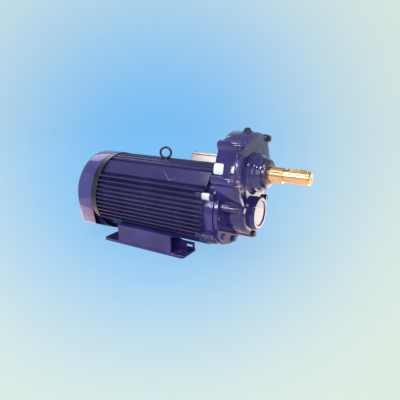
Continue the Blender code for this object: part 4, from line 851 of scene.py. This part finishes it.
MIDDLE = (0.0, 0.0, 0.15)
GEAR_UNIT = (0.20, 0.0, 0.25)
SHAFT_END = (0.33, 0.0, 0.247)
WHITE = (1.0, 0.98, 1.0)
WARM = (1.0, 0.60, 0.42)
SAND = (1.0, 0.86, 0.70)
LAMPS = (
    Lamp("overhead", (0.1, 0.1, 2.6), MIDDLE, (2.4, 2.0), 0.35),
    Lamp("key", (-0.39, -0.77, 2.06), GEAR_UNIT, (0.86, 0.60), 6.5),
    Lamp("rear_left", (-1.75, 0.95, 1.5), MIDDLE, (1.4, 0.7), 2.5, (1.0, 0.95, 0.97)),
    Lamp("front_soft", (-0.40, -1.90, 1.20), GEAR_UNIT, (0.8, 0.9), 3.2),
    Lamp("fill", (1.3, -2.0, 0.9), MIDDLE, (1.8, 1.2), 3.2, (1.0, 0.96, 0.96)),
    Lamp("window_glint", (-0.83, -2.02, 0.82), GEAR_UNIT, (0.15, 0.50), 30.0, WHITE, True),
    Lamp("upper_glint", (-0.66, -0.52, 2.17), GEAR_UNIT, (0.42, 0.60), 2.4, WHITE, True),
    Lamp("lug_glint", (-0.78, -0.79, 1.97), GEAR_UNIT, (0.30, 0.25), 30.0, WHITE, True),
    Lamp("hub_glint", (1.27, -1.04, 1.62), GEAR_UNIT, (0.34, 0.50), 70.0, WHITE, True),
    Lamp("shaft_glint", (-0.385, -1.86, 1.18), SHAFT_END, (0.55, 0.26), 20.0, WHITE, True),
    floor_panel("warm_front", (0.10, -0.50, 0.003), (1.5, 0.76), 1.2, WARM),
    floor_panel("warm_right", (0.45, 0.16, 0.003), (0.7, 0.56), 1.4, WARM),
    floor_panel("warm_behind", (0.62, 1.05, 0.003), (0.7, 0.8), 1.7, WARM),
    floor_panel("cowl_glow", (-0.445, -0.06, 0.004), (0.21, 0.30), 2.2, WARM),
    floor_panel("low_back", (0.43, 0.38, 0.004), (0.26, 0.56), 4.5, SAND),
)


@dataclass
class Studio:
    """Camera, floor, lights and colour settings."""

    target: Point = (0.0304, 0.0, 0.142)
    azimuth: float = radians(30.8)
    elevation: float = radians(16.1)
    distance: float = 1.25
    focal_length: float = 37.08
    sensor: float = 36.0
    bowl_radius: float = 4.5
    bowl_bend: float = 1.2
    bowl_height: float = 2.6
    cloud_pixel: tuple[float, float] = (160.0, 158.0)
    pixels: float = 400.0
    cloud_angles: tuple[float, float] = (0.05, 0.69)
    sky: Colour = (0.215, 0.555, 0.955)
    haze: Colour = (0.735, 0.850, 0.775)
    glow: float = 0.88
    glow_from: tuple[float, float] = (0.25, 0.60)
    world_light: Colour = (0.80, 0.88, 1.0)
    world_strength: float = 0.50
    lamps: tuple[Lamp, ...] = LAMPS

    def back(self) -> Vector:
        """Unit vector from the target to the camera."""
        level = cos(self.elevation)
        return Vector((sin(self.azimuth) * level, -cos(self.azimuth) * level, sin(self.elevation)))

    def add_camera(self) -> bpy.types.Object:
        """The camera at the photograph's viewing angle."""
        camera = bpy.data.objects.new("camera", bpy.data.cameras.new("camera"))
        bpy.context.scene.collection.objects.link(camera)
        camera.data.sensor_width = self.sensor
        camera.data.lens = self.focal_length
        camera.data.clip_start, camera.data.clip_end = 0.05, 50.0
        camera.location = Vector(self.target) + self.back() * self.distance
        camera.rotation_mode = "QUATERNION"
        camera.rotation_quaternion = (-self.back()).to_track_quat("-Z", "Y")
        bpy.context.scene.camera = camera
        return camera

    def cloud_axis(self) -> Vector:
        """Direction from the camera's place to the middle of the backdrop's blue cloud."""
        back = self.back()
        right = Vector((cos(self.azimuth), sin(self.azimuth), 0.0))
        reach = self.focal_length / self.sensor * self.pixels
        across = (self.cloud_pixel[0] - self.pixels / 2) / reach
        above = (self.pixels / 2 - self.cloud_pixel[1]) / reach
        return (-back + right * across + back.cross(right) * above).normalized()

    def backdrop_material(self) -> bpy.types.Material:
        """Pale matt paper, blue behind the object and paler away from it.

        The colour depends on the angle at a fixed point, (place - eye) · axis / |place - eye|, so the
        blue is a round cloud that stays where it is on the paper. What the camera and mirrors see is
        partly the paper's own colour and partly the paper as it is lit, with the object's shadow. Near
        the object, mirrors see the lit paper alone.
        """
        graph = Graph("backdrop_paper")
        eye = Vector(self.target) + self.back() * self.distance
        away = graph.place(shift=tuple(-c for c in eye))
        unit = graph.node("ShaderNodeVectorMath", {"operation": "NORMALIZE"}, {0: away}).outputs[0]
        axis = tuple(self.cloud_axis())
        dot = graph.node("ShaderNodeVectorMath", {"operation": "DOT_PRODUCT"}, {0: unit, 1: axis})
        inner, outer = self.cloud_angles
        near = Field(graph, dot.outputs["Value"]).angle().step(outer, inner)
        tone = graph.mix(near + 0.03 * graph.noise(3.0, 2.0) - 0.015, self.haze, self.sky)
        graph.dress(Base_Color=tone, Roughness=0.9, Specular_IOR_Level=0.0)
        plain = graph.node("ShaderNodeEmission", None, {"Color": tone, "Strength": 1.0})
        rays = graph.node("ShaderNodeLightPath")
        clear = graph.distance((self.target[0], 0.0, 0.0)).step(*self.glow_from)
        seen = clear * rays.outputs["Is Glossy Ray"]
        seen = seen.most(rays.outputs["Is Camera Ray"])
        seen = seen.most(rays.outputs["Is Transmission Ray"])
        shaders = {0: seen * self.glow, 1: graph.shader.outputs[0], 2: plain.outputs[0]}
        both = graph.node("ShaderNodeMixShader", None, shaders)
        graph.join(both.outputs[0], graph.tree.nodes["Material Output"].inputs["Surface"])
        return graph.material

    def add_bowl(self) -> bpy.types.Object:
        """Floor and wall as one round bowl: a flat disc that bends up through a quarter circle."""
        bend = np.linspace(0.0, pi / 2, 13)
        flat = self.bowl_radius - self.bowl_bend
        radius = np.concatenate([np.linspace(0.0, flat, 8)[:-1], flat + self.bowl_bend * np.sin(bend)])
        height = np.concatenate([np.zeros(7), self.bowl_bend * (1 - np.cos(bend))])
        profile = np.stack([np.append(height, self.bowl_height), np.append(radius, self.bowl_radius)], axis=1)
        mesh = Surface("floor").add(turned(profile, (0.0, 0.0, 0.0), (0.0, 0.0, 1.0), 96), True).mesh()
        bowl = bpy.data.objects.new("floor", mesh)
        bpy.context.scene.collection.objects.link(bowl)
        mesh.materials.append(self.backdrop_material())
        mesh.flip_normals()
        mesh.shade_smooth()
        return bowl

    def build(self) -> None:
        """Makes the camera, the floor, the lamps and the world's light."""
        self.add_camera()
        self.add_bowl()
        for lamp in self.lamps:
            lamp.add()
        scene = bpy.context.scene
        world = scene.world or bpy.data.worlds.new("world")
        scene.world = world
        world.use_nodes = True
        light = world.node_tree.nodes["Background"]
        light.inputs["Color"].default_value = (*self.world_light, 1.0)
        light.inputs["Strength"].default_value = self.world_strength
        scene.view_settings.view_transform = "Standard"


@dataclass
class Fastener:
    """Sizes of one hexagon-headed bolt with its washer."""

    across: float = 0.0158
    head: float = 0.0058
    washer_radius: float = 0.0092
    washer: float = 0.0012
    shank: float = 0.005
    length: float = 0.026
    dish: float = 0.0007

    def surface(self, name: str, seat: Point, direction: Point, turn: float = 0.0) -> Surface:
        """Head, washer and shank.

        Args:
            name: the piece's name.
            seat: where the washer lies, on the axis.
            direction: from the seat to the top of the head.
            turn: the head's angle.

        Returns:
            The surface, all its shells closed.
        """
        corner = self.across / sqrt(3)
        top = self.washer + self.head
        heights = np.array([self.washer, self.washer, top - 0.0011, top - 0.0006, top - 0.0002, top])
        limits = np.array([0.0, corner, corner, corner - 0.0004, corner - 0.0012, corner - 0.0022])
        crown = np.array([
            (top, corner - 0.0022), (top, corner - 0.0036), (top - self.dish, corner - 0.0048),
            (top - self.dish, 0.0),
        ])
        ring = eased([
            (0.0, self.shank), (0.0, self.washer_radius), (self.washer, self.washer_radius),
            (self.washer, self.shank), (0.0, self.shank),
        ], 0.0003, 2)
        end = -self.length - 0.001
        stem = np.array([
            (self.washer, 0.0), (self.washer, self.shank * 0.97), (-self.length, self.shank * 0.97),
            (end, self.shank * 0.8), (end, 0.0),
        ])
        made = Surface(name).add(many_sided(heights, limits, self.across, seat, direction, turn=turn), True)
        for profile, sides in ((crown, 72), (ring, 48), (stem, 24)):
            made.add(turned(profile, seat, direction, sides), True)
        return made


def small_screw(
    name: str, outline: Sequence[tuple[float, float]], start: Point, direction: Point, finish: Finish
) -> bpy.types.Object:
    """A round-headed screw that stands for no node.

    Args:
        name: the piece's name.
        outline: distance along the axis and radius, from the middle of its seat to its crown.
        start: where the distance is 0.
        direction: the axis.
        finish: its finish.

    Returns:
        The piece.
    """
    made = Surface(name).add(turned(eased(outline, 0.0005, 3), start, direction, 28), True)
    return settle(made.mesh(), finish, Body.HOUSING, (), 40.0)


@dataclass
class Casing:
    """The castings and pressings of motor and gear unit, with their edges rounded."""

    edge: dict[str, float] = field(default_factory=lambda: {
        "motor_frame": 0.0007,
        "rear_end_shield": 0.0012,
        "drive_end_shield": 0.0009,
        "foot_left": 0.0012,
        "foot_right": 0.0012,
        "gear_case": 0.0007,
        "gear_cover": 0.0005,
        "pinion_bearing_cap": 0.0010,
        "output_seal_cap": 0.0010,
        "fan_cowl": 0.0006,
        "terminal_box": 0.0012,
        "terminal_box_lid": 0.0012,
    })
    finishes: dict[str, Finish] = field(default_factory=lambda: {
        "motor_frame": LIT_FIN_ENAMEL,
        "fan_cowl": LIT_SHEET_ENAMEL,
        "output_seal_cap": DARK_ENAMEL,
        "terminal_box": LID_METAL,
        "terminal_box_lid": LID_METAL,
    })

    def build(self) -> list[bpy.types.Object]:
        """Makes every rounded casting."""
        return [
            rounded_casting(node, self.finishes.get(node, ENAMEL), Body.HOUSING, radius)
            for node, radius in self.edge.items()
        ]


@dataclass
class GearUnitBolts:
    """The bolts of cover, flange and drive-end shield, each in place of its CAD node."""

    cover: Fastener = field(default_factory=Fastener)
    flange: Fastener = field(default_factory=lambda: Fastener(length=0.0185))
    shield: Fastener = field(default_factory=lambda: Fastener(length=0.038))
    # Cover bolts shown in blackened steel: painted shade, as they lie in shadow.
    shade_dark_bolts: tuple[str, ...] = ("cover_bolt_2", "cover_bolt_4", "cover_bolt_6", "cover_bolt_7")

    def replace(self, node: str, fastener: Fastener, turn: float) -> bpy.types.Object:
        """Puts one bolt where its CAD node is.

        Args:
            node: the CAD node.
            fastener: the bolt's sizes.
            turn: the head's angle.

        Returns:
            The piece.
        """
        _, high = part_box(node)
        axis = middle_of(node)
        head = fastener.washer + fastener.head
        seat = (high[0] - head, axis[1], axis[2])
        made = fastener.surface(node + "_piece", seat, (1.0, 0.0, 0.0), turn)
        # Blackened steel on these bolts is painted shade.
        finish = BLACK_STEEL if node in self.shade_dark_bolts else ENAMEL
        return settle(made.mesh(), finish, Body.HOUSING, [node], 28.0)

    def build(self) -> list[bpy.types.Object]:
        """Makes all sixteen bolts, each head at its own angle, most of them painted over. Four cover bolts
        are blackened steel: painted shade, standing for the shadow they lie in.
        """
        kinds = [
            ("cover_bolt_", 7, self.cover),
            ("flange_bolt_", 5, self.flange),
            ("shield_bolt_", 4, self.shield),
        ]
        names = [(f"{start}{i + 1}", kind) for start, count, kind in kinds for i in range(count)]
        return [self.replace(name, kind, 0.37 * number) for number, (name, kind) in enumerate(names)]


@dataclass
class OutputShaftEnd:
    """The output shaft as a turned and ground piece, with a keyway and a centre hole."""

    axis_height: float = 0.247
    collar: float = 0.028
    shoulder: float = 0.021
    end: float = 0.0175
    rear_seat: float = 0.0200
    gear_seat: float = 0.0240
    front_seat: float = 0.0225
    rear_x: float = 0.1410
    gear_seat_x: float = 0.1592
    collar_x: float = 0.1920
    front_seat_x: float = 0.2035
    shoulder_x: float = 0.2232
    shoulder_end_x: float = 0.2906
    tip_x: float = 0.3626
    key_width: float = 0.010
    key_floor: float = 0.0125
    slot_from_x: float = 0.3004
    slot_to_x: float = 0.3568
    centre_hole: float = 0.0052

    def profile(self) -> np.ndarray:
        """Distance and radius from the rear end to the tip, with reliefs, rounds and chamfers."""
        tip, step = self.tip_x, self.shoulder_end_x
        corners = [
            (self.rear_x, 0.0), (self.rear_x, self.rear_seat - 0.0014),
            (self.rear_x + 0.0014, self.rear_seat), (self.gear_seat_x, self.rear_seat),
            (self.gear_seat_x, self.gear_seat),
            (self.collar_x, self.gear_seat), (self.collar_x, self.collar),
            (self.front_seat_x, self.collar), (self.front_seat_x, self.front_seat),
            (self.shoulder_x, self.front_seat), (self.shoulder_x, self.shoulder),
            (step - 0.0010, self.shoulder), (step, self.shoulder - 0.0010), (step, self.end + 0.0002),
            (step + 0.0004, self.end - 0.0003), (step + 0.0026, self.end - 0.0003),
            (step + 0.0030, self.end), (tip - 0.0020, self.end), (tip, self.end - 0.0020),
        ]
        return eased(corners, 0.0003, 2)

    def key_slot(self, grid: np.ndarray) -> np.ndarray:
        """Lowers the points inside the keyway to its flat floor.

        A point is inside where its sideways place y and its distance beyond the slot's rounded ends,
        e = max(from - x, x - to, 0) with the ends drawn in by half the width, give y² + e² < (width / 2)².

        Args:
            grid: the shaft's points.

        Returns:
            The points with the keyway cut.
        """
        cut = grid.copy()
        half = self.key_width / 2
        beyond = np.maximum(self.slot_from_x + half - grid[..., 0], grid[..., 0] - self.slot_to_x + half)
        beyond = np.maximum(beyond, 0.0)
        inside = (grid[..., 1] ** 2 + beyond**2 < half**2) & (grid[..., 2] > self.axis_height)
        cut[..., 2] = np.where(inside, self.axis_height + self.key_floor, cut[..., 2])
        return cut

    def body_grid(self) -> np.ndarray:
        """The shaft round its axis, with points close together at the keyway's sides and along it."""
        profile = self.profile()
        stations = np.linspace(self.slot_from_x - 0.001, self.slot_to_x + 0.001, 110)
        extra = np.stack([stations, np.full_like(stations, self.end)], axis=1)
        cut_in = np.searchsorted(profile[:, 0], stations[0])
        profile = np.concatenate([profile[:cut_in], extra, profile[cut_in:]])
        half = np.arcsin(self.key_width / 2 / self.end)
        over = pi / 2 + np.concatenate([np.linspace(-half, half, 19), [-half - 0.004, half + 0.004]])
        rest = np.linspace(pi / 2 + half + 0.06, pi / 2 + 2 * pi - half - 0.06, 84)
        angle = np.sort(np.concatenate([over, rest]) % (2 * pi))
        ring = np.stack([np.zeros_like(angle), np.cos(angle), np.sin(angle)], axis=1)
        along = np.zeros((len(profile), 1, 3))
        along[..., 0] = profile[:, :1]
        grid = along + profile[:, 1:, None] * ring[None]
        grid[..., 2] += self.axis_height
        return self.key_slot(grid)

    def tip_grid(self, angles: np.ndarray) -> np.ndarray:
        """The end face with its centre hole: a flat ring, a 60° cone, a pilot hole and its floor."""
        tip = self.tip_x
        hole = np.array([
            (tip, self.end - 0.0020), (tip, self.centre_hole), (tip - 0.0004, self.centre_hole - 0.0003),
            (tip - 0.0050, 0.0026), (tip - 0.0100, 0.0026), (tip - 0.0112, 0.0),
        ])
        grid = np.zeros((len(hole), len(angles), 3))
        grid[..., 0] = hole[:, :1]
        grid[..., 1] = hole[:, 1:] * np.cos(angles)
        grid[..., 2] = self.axis_height + hole[:, 1:] * np.sin(angles)
        return grid

    def build(self) -> list[bpy.types.Object]:
        """Makes the shaft and its key."""
        body = self.body_grid()
        last = body[-1]
        angles = np.arctan2(last[:, 2] - self.axis_height, last[:, 1])
        made = Surface("output_shaft_piece").add(body, True).add(self.tip_grid(angles), True)
        shaft = settle(made.mesh(), SHAFT_STEEL, Body.OUTPUT, ["output_shaft"], 24.0)
        key = rounded_casting("output_key", SHAFT_STEEL, Body.OUTPUT, 0.0004)
        return [shaft, key]


@dataclass
class LiftingEye:
    """The eyebolt: a forged ring on a flared collar, screwed in until it stands askew."""

    ring_radius: float = 0.0163
    wire_radius: float = 0.0034
    ring_height: float = 0.2764
    askew: float = radians(28.0)
    swelling: float = 0.25
    collar_radius: float = 0.0100
    collar_drop: float = 0.0020

    def ring(self, x: float, y: float) -> np.ndarray:
        """The ring, whose wire is thicker where it meets the collar.

        With a round the ring and b round the wire, w = w0 (1 + s e^(-3 (a - 3π/2)²)); a point is
        R + w cos b out from the middle, and w sin b to the side, all turned about Z by the skew.

        Args:
            x: the middle's place along X.
            y: the middle's place along Y.

        Returns:
            The grid, closed both ways.
        """
        a = np.linspace(0.0, 2 * pi, 72, endpoint=False)[:, None]
        b = np.linspace(0.0, 2 * pi, 24, endpoint=False)[None, :]
        wire = self.wire_radius * (1.0 + self.swelling * np.exp(-3.0 * (a - 1.5 * pi) ** 2))
        out = self.ring_radius + wire * np.cos(b)
        level, side = out * np.cos(a), wire * np.sin(b)
        return np.stack([
            x + level * cos(self.askew) - side * sin(self.askew),
            y + level * sin(self.askew) + side * cos(self.askew),
            self.ring_height + out * np.sin(a),
        ], axis=-1)

    def collar(self, height: float) -> np.ndarray:
        """The shank, the flat collar and its flare up to the ring, as distance and radius.

        Args:
            height: from the shank's lower end to the ring's lowest point.

        Returns:
            The outline.
        """
        flat = height - self.collar_drop
        return eased([
            (0.0, 0.0), (0.0, 0.0040), (flat - 0.0025, 0.0040), (flat - 0.0025, self.collar_radius - 0.0003),
            (flat, self.collar_radius), (height + 0.0004, 0.0062), (height + 0.0030, 0.0040),
            (height + 0.0042, 0.0020), (height + 0.0042, 0.0),
        ], 0.0008, 3)

    def build(self) -> bpy.types.Object:
        """Makes the ring and the collar."""
        x, y, _ = middle_of("eyebolt")
        low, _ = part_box("eyebolt")
        seat = self.ring_height - self.ring_radius - self.wire_radius
        collar = turned(self.collar(seat - low[2]), (x, y, low[2]), (0.0, 0.0, 1.0), 40)
        made = Surface("eyebolt_piece").add(self.ring(x, y), True, True).add(collar, True)
        return settle(made.mesh(), LIFTING_STEEL, Body.HOUSING, ["eyebolt"], 50.0)


@dataclass
class TerminalFittings:
    """What is fixed to the terminal box: the lid's screws and the cable gland."""

    normal: Point = (0.0, 0.5, 0.8660)
    side: Point = (0.0, -0.8660, 0.5)
    motor_axis_height: float = 0.132
    box_x: float = 0.0404
    lid_top: float = 0.1464
    half_length: float = 0.055
    half_width: float = 0.050
    inset: float = 0.0075
    across: float = 0.0168
    nut_from: float = 0.0060
    hole: float = 0.0046
    hole_floor: float = 0.0100
    ribs: int = 12
    rib_height: float = 0.035

    def point(self, along: float, across: float, out: float) -> np.ndarray:
        """A point of the box.

        Args:
            along: distance from the box's middle along X.
            across: distance towards the near side.
            out: distance from the motor axis along the box's own up direction.

        Returns:
            The point in the frame of the model.
        """
        base = np.array([self.box_x + along, 0.0, self.motor_axis_height])
        return base + across * np.asarray(self.side) + out * np.asarray(self.normal)

    def lid_screw(self, number: int, along: float, across: float) -> bpy.types.Object:
        """A round-headed screw whose recess shows as a dished crown.

        Args:
            number: the screw's number.
            along: its place along X.
            across: its place towards the near side.

        Returns:
            The piece.
        """
        head = [
            (-0.0008, 0.0), (-0.0008, 0.0040), (0.0012, 0.0040), (0.0024, 0.0030), (0.0029, 0.0018),
            (0.0021, 0.0012), (0.0021, 0.0),
        ]
        start = tuple(self.point(along, across, self.lid_top))
        return small_screw(f"lid_screw_{number}", head, start, self.normal, BLACK_STEEL)

    def gland(self) -> bpy.types.Object:
        """The cable gland: a hexagon body and a ribbed dome nut with its hole.

        The nut is a turned shape whose radius r is r (1 + h k) on a rib and r (1 - h k) between two,
        where h is the ribs' height and k says how far the ribs have risen at that place.
        """
        low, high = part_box("cable_gland")
        middle = middle_of("cable_gland")
        end, reach = (high[0], middle[1], middle[2]), high[0] - low[0]
        away = (-1.0, 0.0, 0.0)
        body = np.array([0.0, 0.0, 0.0006, 0.0052, 0.0058, 0.0058])
        limit = np.array([0.0, 0.0090, 0.0094, 0.0094, 0.0088, 0.0])
        made = Surface("cable_gland_piece")
        made.add(many_sided(body, limit, self.across, end, away), True)
        angle = np.linspace(0.0, 2 * pi, 96, endpoint=False)
        rows = np.array([
            (self.nut_from, 0.0), (self.nut_from, 0.0072), (self.nut_from, 0.0083),
            (self.nut_from + 0.0008, 0.0086), (0.0120, 0.0084), (0.0150, 0.0077),
            (reach - 0.0008, 0.0064), (reach, 0.0056), (reach - 0.0004, 0.0050),
            (self.hole_floor, self.hole), (self.hole_floor, 0.0),
        ])
        along, one, two = cross_axes(away)
        risen = np.array([0.0, 0.0, 1.0, 1.0, 1.0, 0.7, 0.2, 0.0, 0.0, 0.0, 0.0])[:, None]
        side = np.sign(np.sin(angle * self.ribs))[None]
        radius = rows[:, 1:] * (1.0 + self.rib_height * risen * side)
        ring = np.cos(angle)[:, None] * one + np.sin(angle)[:, None] * two
        nut = np.asarray(end) + rows[:, :1, None] * along + radius[:, :, None] * ring[None]
        made.add(nut, True)
        return settle(made.mesh(), BLACK_PLASTIC, Body.HOUSING, ["cable_gland"], 30.0)

    def build(self) -> list[bpy.types.Object]:
        """Makes the lid's four screws and the gland."""
        x, y = self.half_length - self.inset, self.half_width - self.inset
        corners = [(-x, -y), (-x, y), (x, -y), (x, y)]
        screws = [self.lid_screw(number, *corner) for number, corner in enumerate(corners, 1)]
        return [*screws, self.gland()]


@dataclass
class OilPlugs:
    """The breather on the top of the gear case and the drain plug low on its far side."""

    across: float = 0.0165
    head: float = 0.0082
    stem_radius: float = 0.0068
    ring_radius: float = 0.0086
    ring_height: float = 0.0014
    corner_radius: float = 0.0096
    dome_radius: float = 0.0066
    dome_height: float = 0.0026

    def plug(self, node: str, direction: Point, breather: bool) -> bpy.types.Object:
        """A hexagon plug with a sealing ring, and a domed crown where it is the breather.

        Args:
            node: the CAD node that it replaces.
            direction: from the case outwards.
            breather: whether it has the domed crown.

        Returns:
            The piece.
        """
        low, high = (np.array(c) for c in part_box(node))
        along, _, _ = cross_axes(direction)
        middle = (low + high) / 2
        reach = float(np.dot(high - low, np.abs(along))) / 2
        start = tuple(middle - along * reach)
        total = 2 * reach
        seat = total - self.head
        base = seat + self.ring_height
        top = total - (self.dome_height if breather else 0.0)
        made = Surface(node + "_piece")
        stem = np.array([
            (0.0, 0.0), (0.0, self.stem_radius - 0.0006), (0.0006, self.stem_radius),
            (seat, self.stem_radius), (seat, 0.0),
        ])
        made.add(turned(stem, start, direction, 32), True)
        ring = [(seat, 0.0), (seat, self.ring_radius), (base, self.ring_radius), (base, 0.0)]
        made.add(turned(eased(ring, 0.0005, 2), start, direction, 40), True)
        corner = self.corner_radius
        heights = np.array([base, base, top - 0.0008, top - 0.0003, top, top])
        limits = np.array([0.0, corner, corner, corner - 0.0006, corner - 0.0014, 0.0])
        made.add(many_sided(heights, limits, self.across, start, direction), True)
        if breather:
            dome = [
                (top, 0.0), (top, self.dome_radius), (top + 0.0012, self.dome_radius),
                (total - 0.0003, 0.0044), (total, 0.0),
            ]
            made.add(turned(eased(dome, 0.0012, 4), start, direction, 40), True)
        return settle(made.mesh(), BLACK_STEEL, Body.HOUSING, [node], 30.0)

    def build(self) -> list[bpy.types.Object]:
        """Makes the breather, which points up, and the drain plug, which points to the far side."""
        return [
            self.plug("breather_plug", (0.0, 0.0, 1.0), True),
            self.plug("drain_plug", (0.0, 1.0, 0.0), False),
        ]


@dataclass(frozen=True)
class Label:
    """A thin plate without any sign, with round corners, that lies on a cylinder about X.

    Radius and axis (y and z) are the cylinder's, x and angle the plate's middle, width its size along X,
    arc its size round the axis, and rim how far its edge goes down.
    """

    name: str
    radius: float
    axis: tuple[float, float]
    x: float
    angle: float
    width: float
    arc: float
    rim: float
    thickness: float = 0.0003

    def grid(self) -> np.ndarray:
        """The plate's rings from its edge to its middle.

        An edge point follows a superellipse |x / a|⁶ + |y / b|⁶ = 1, and the rings shrink from it.
        """
        around = np.linspace(0.0, 2 * pi, 64, endpoint=False)
        power = 2.0 / 6.0
        edge_x = np.sign(np.cos(around)) * np.abs(np.cos(around)) ** power * self.width / 2
        edge_s = np.sign(np.sin(around)) * np.abs(np.sin(around)) ** power * self.arc / 2
        shrink = np.array([1.0, 1.0, 0.985, 0.8, 0.6, 0.4, 0.2, 0.0])[:, None]
        lift = np.where(shrink < 1.0, self.thickness, self.thickness * 0.6)
        lift[0] = -self.rim
        r = self.radius + lift
        turn = self.angle + shrink * edge_s[None] / self.radius
        along = self.x + shrink * edge_x[None]
        return np.stack([along, self.axis[0] + r * np.cos(turn), self.axis[1] + r * np.sin(turn)], axis=-1)


@dataclass
class HighlightTags:
    """Bare places for tags: a label on the gear case's drum and one on a lug of the end shield. Both sit
    where bright reflections fall, and their white is in part a painted highlight.
    """

    labels: tuple[Label, ...] = (
        Label("drum_highlight_label", 0.110, (0.0, 0.247), 0.1500, pi - 0.212, 0.028, 0.029, 0.0004),
        Label(
            "lug_highlight_label", 0.011, (-0.114 * cos(radians(30)), 0.132 + 0.114 * sin(radians(30))), 0.1115,
            pi + 0.18, 0.024, 0.028, 0.0003,
        ),
    )

    def build(self) -> list[bpy.types.Object]:
        """Makes the two blank labels."""
        return [
            settle(Surface(label.name).add(label.grid(), True).mesh(), HIGHLIGHT_LABEL_FILM, Body.HOUSING, (), 50.0)
            for label in self.labels
        ]


@dataclass
class CowlScrews:
    """Round-headed screws that hold the fan cowl to the rear end shield."""

    radius: float = 0.129
    sunk: float = 0.0006
    height: float = 0.132
    x: float = -0.3005
    angles: tuple[float, ...] = (30.0, 150.0)

    def build(self) -> list[bpy.types.Object]:
        """Makes the screws, each pointing straight out of the cowl."""
        head = [
            (0.0, 0.0), (0.0, 0.0058), (0.0009, 0.0058), (0.0009, 0.0042), (0.0022, 0.0036),
            (0.0030, 0.0020), (0.0022, 0.0012), (0.0022, 0.0),
        ]
        made = []
        for number, degrees in enumerate(self.angles, 1):
            out = (0.0, cos(radians(degrees)), sin(radians(degrees)))
            seat = self.radius - self.sunk
            start = (self.x, out[1] * seat, self.height + out[2] * seat)
            made.append(small_screw(f"cowl_screw_{number}", head, start, out, LIT_SHEET_ENAMEL))
        return made


@dataclass
class PanelCrease:
    """The fine welt that is cast on the frame's sloping panel, in the shape of a V. Its light enamel is a
    painted highlight.
    """

    corners: tuple[Point, ...] = (
        (-0.0583, -0.0642, 0.2368), (-0.0205, -0.0868, 0.2142), (-0.0026, -0.0788, 0.2222),
    )
    radius: float = 0.0014
    sides: int = 12

    def build(self) -> bpy.types.Object:
        """Makes the welt: a thin round rod along the corners, half sunk in the panel.

        Each corner has a ring c + r (cos b side + sin b out), where out is the panel's normal and side
        lies across the way from the first corner to the last; both ends close in a point.
        """
        points = np.asarray(self.corners)
        stations = np.linspace(0.0, 2.0, 41)
        path = np.stack([np.interp(stations, (0.0, 1.0, 2.0), points[:, axis]) for axis in range(3)], axis=1)
        out = np.array((0.0, -sqrt(0.5), sqrt(0.5)))
        way = points[2] - points[0]
        side = np.cross(out, way / np.linalg.norm(way))
        b = np.linspace(0.0, 2 * pi, self.sides, endpoint=False)[None, :, None]
        size = self.radius * np.sqrt(np.maximum(1.0 - (stations - 1.0) ** 8, 0.0))[:, None, None]
        grid = path[:, None] + size * (np.cos(b) * side + np.sin(b) * out)
        return settle(Surface("panel_crease").add(grid, True).mesh(), CREASE_HIGHLIGHT_ENAMEL, Body.HOUSING, (), 60.0)


@dataclass
class ShadowBand:
    """A near-black band between cowl and fins: painted shade, a dark ring put where the gap between them lies
    in shadow.
    """

    axis_height: float = 0.132
    outside: float = 0.1286
    inside: float = 0.1272
    tucked_inside: float = 0.1262
    rear_x: float = -0.2990
    cowl_end_x: float = -0.2951
    front_x: float = -0.2750

    def build(self) -> bpy.types.Object:
        """Makes the band: a thin ring whose rear end is tucked under the cowl."""
        step = self.cowl_end_x - self.rear_x
        end = self.front_x - self.rear_x
        outline = np.array([
            (0.0, self.tucked_inside), (0.0, self.inside), (step, self.inside),
            (step + 0.0004, self.outside), (end - 0.0006, self.outside), (end, self.outside - 0.0005),
            (end, self.inside), (step + 0.0014, self.inside), (step + 0.0014, self.tucked_inside),
            (0.0, self.tucked_inside),
        ])
        grid = turned(outline, (self.rear_x, 0.0, self.axis_height), (1.0, 0.0, 0.0), 160)
        return settle(Surface("shadow_band").add(grid, True).mesh(), SHADOW_ENAMEL, Body.HOUSING, (), 30.0)


@dataclass
class InnerParts:
    """Finishes of the CAD nodes that keep their own shape."""

    finishes: dict[str, Finish] = field(default_factory=lambda: {
        "terminal_gasket": SEAL_RUBBER,
        "terminal_block": BLACK_PLASTIC,
        "stator_core": CORE_SHEETS,
        "rotor_core": CORE_SHEETS,
        "winding_head_rear": WINDING,
        "winding_head_front": WINDING,
        "rotor_end_ring_rear": END_RING_METAL,
        "rotor_end_ring_front": END_RING_METAL,
        "cover_gasket": GASKET_PAPER,
        "motor_oil_seal": SEAL_RUBBER,
        "output_oil_seal": SEAL_RUBBER,
        "motor_shaft": SHAFT_STEEL,
        "motor_pinion": GEAR_STEEL,
        "output_gear": GEAR_STEEL,
        "cooling_fan": BLACK_PLASTIC,
    })

    def build(self) -> int:
        """Gives each CAD node that still shows its finish, bearing rings the ring steel.

        Returns:
            How many nodes were dressed.
        """
        shown = [(name, node) for name, node in NODES.items() if not node.hide_render]
        for name, node in shown:
            finish = self.finishes.get(name, RING_STEEL)
            if not node.material_slots:
                node.data.materials.append(finish.material())
            for place in node.material_slots:
                place.material = finish.material()
        return len(shown)


def main() -> None:
    """Builds the studio and the pieces in order, and reports each through the log."""
    logging.basicConfig(level=logging.INFO, format="%(name)s: %(message)s")
    Studio().build()
    LOG.info("studio ready")
    assemblies = (
        Casing(), GearUnitBolts(), OutputShaftEnd(), LiftingEye(), TerminalFittings(), OilPlugs(),
        HighlightTags(), CowlScrews(), PanelCrease(), ShadowBand(),
    )
    for assembly in assemblies:
        made = assembly.build()
        pieces = made if isinstance(made, list) else [made]
        for piece in pieces:
            LOG.info("%s: %s, %d faces", type(assembly).__name__, piece.name, len(piece.data.polygons))
    LOG.info("%d CAD nodes dressed", InnerParts().build())


if __name__ == "__main__":
    main()
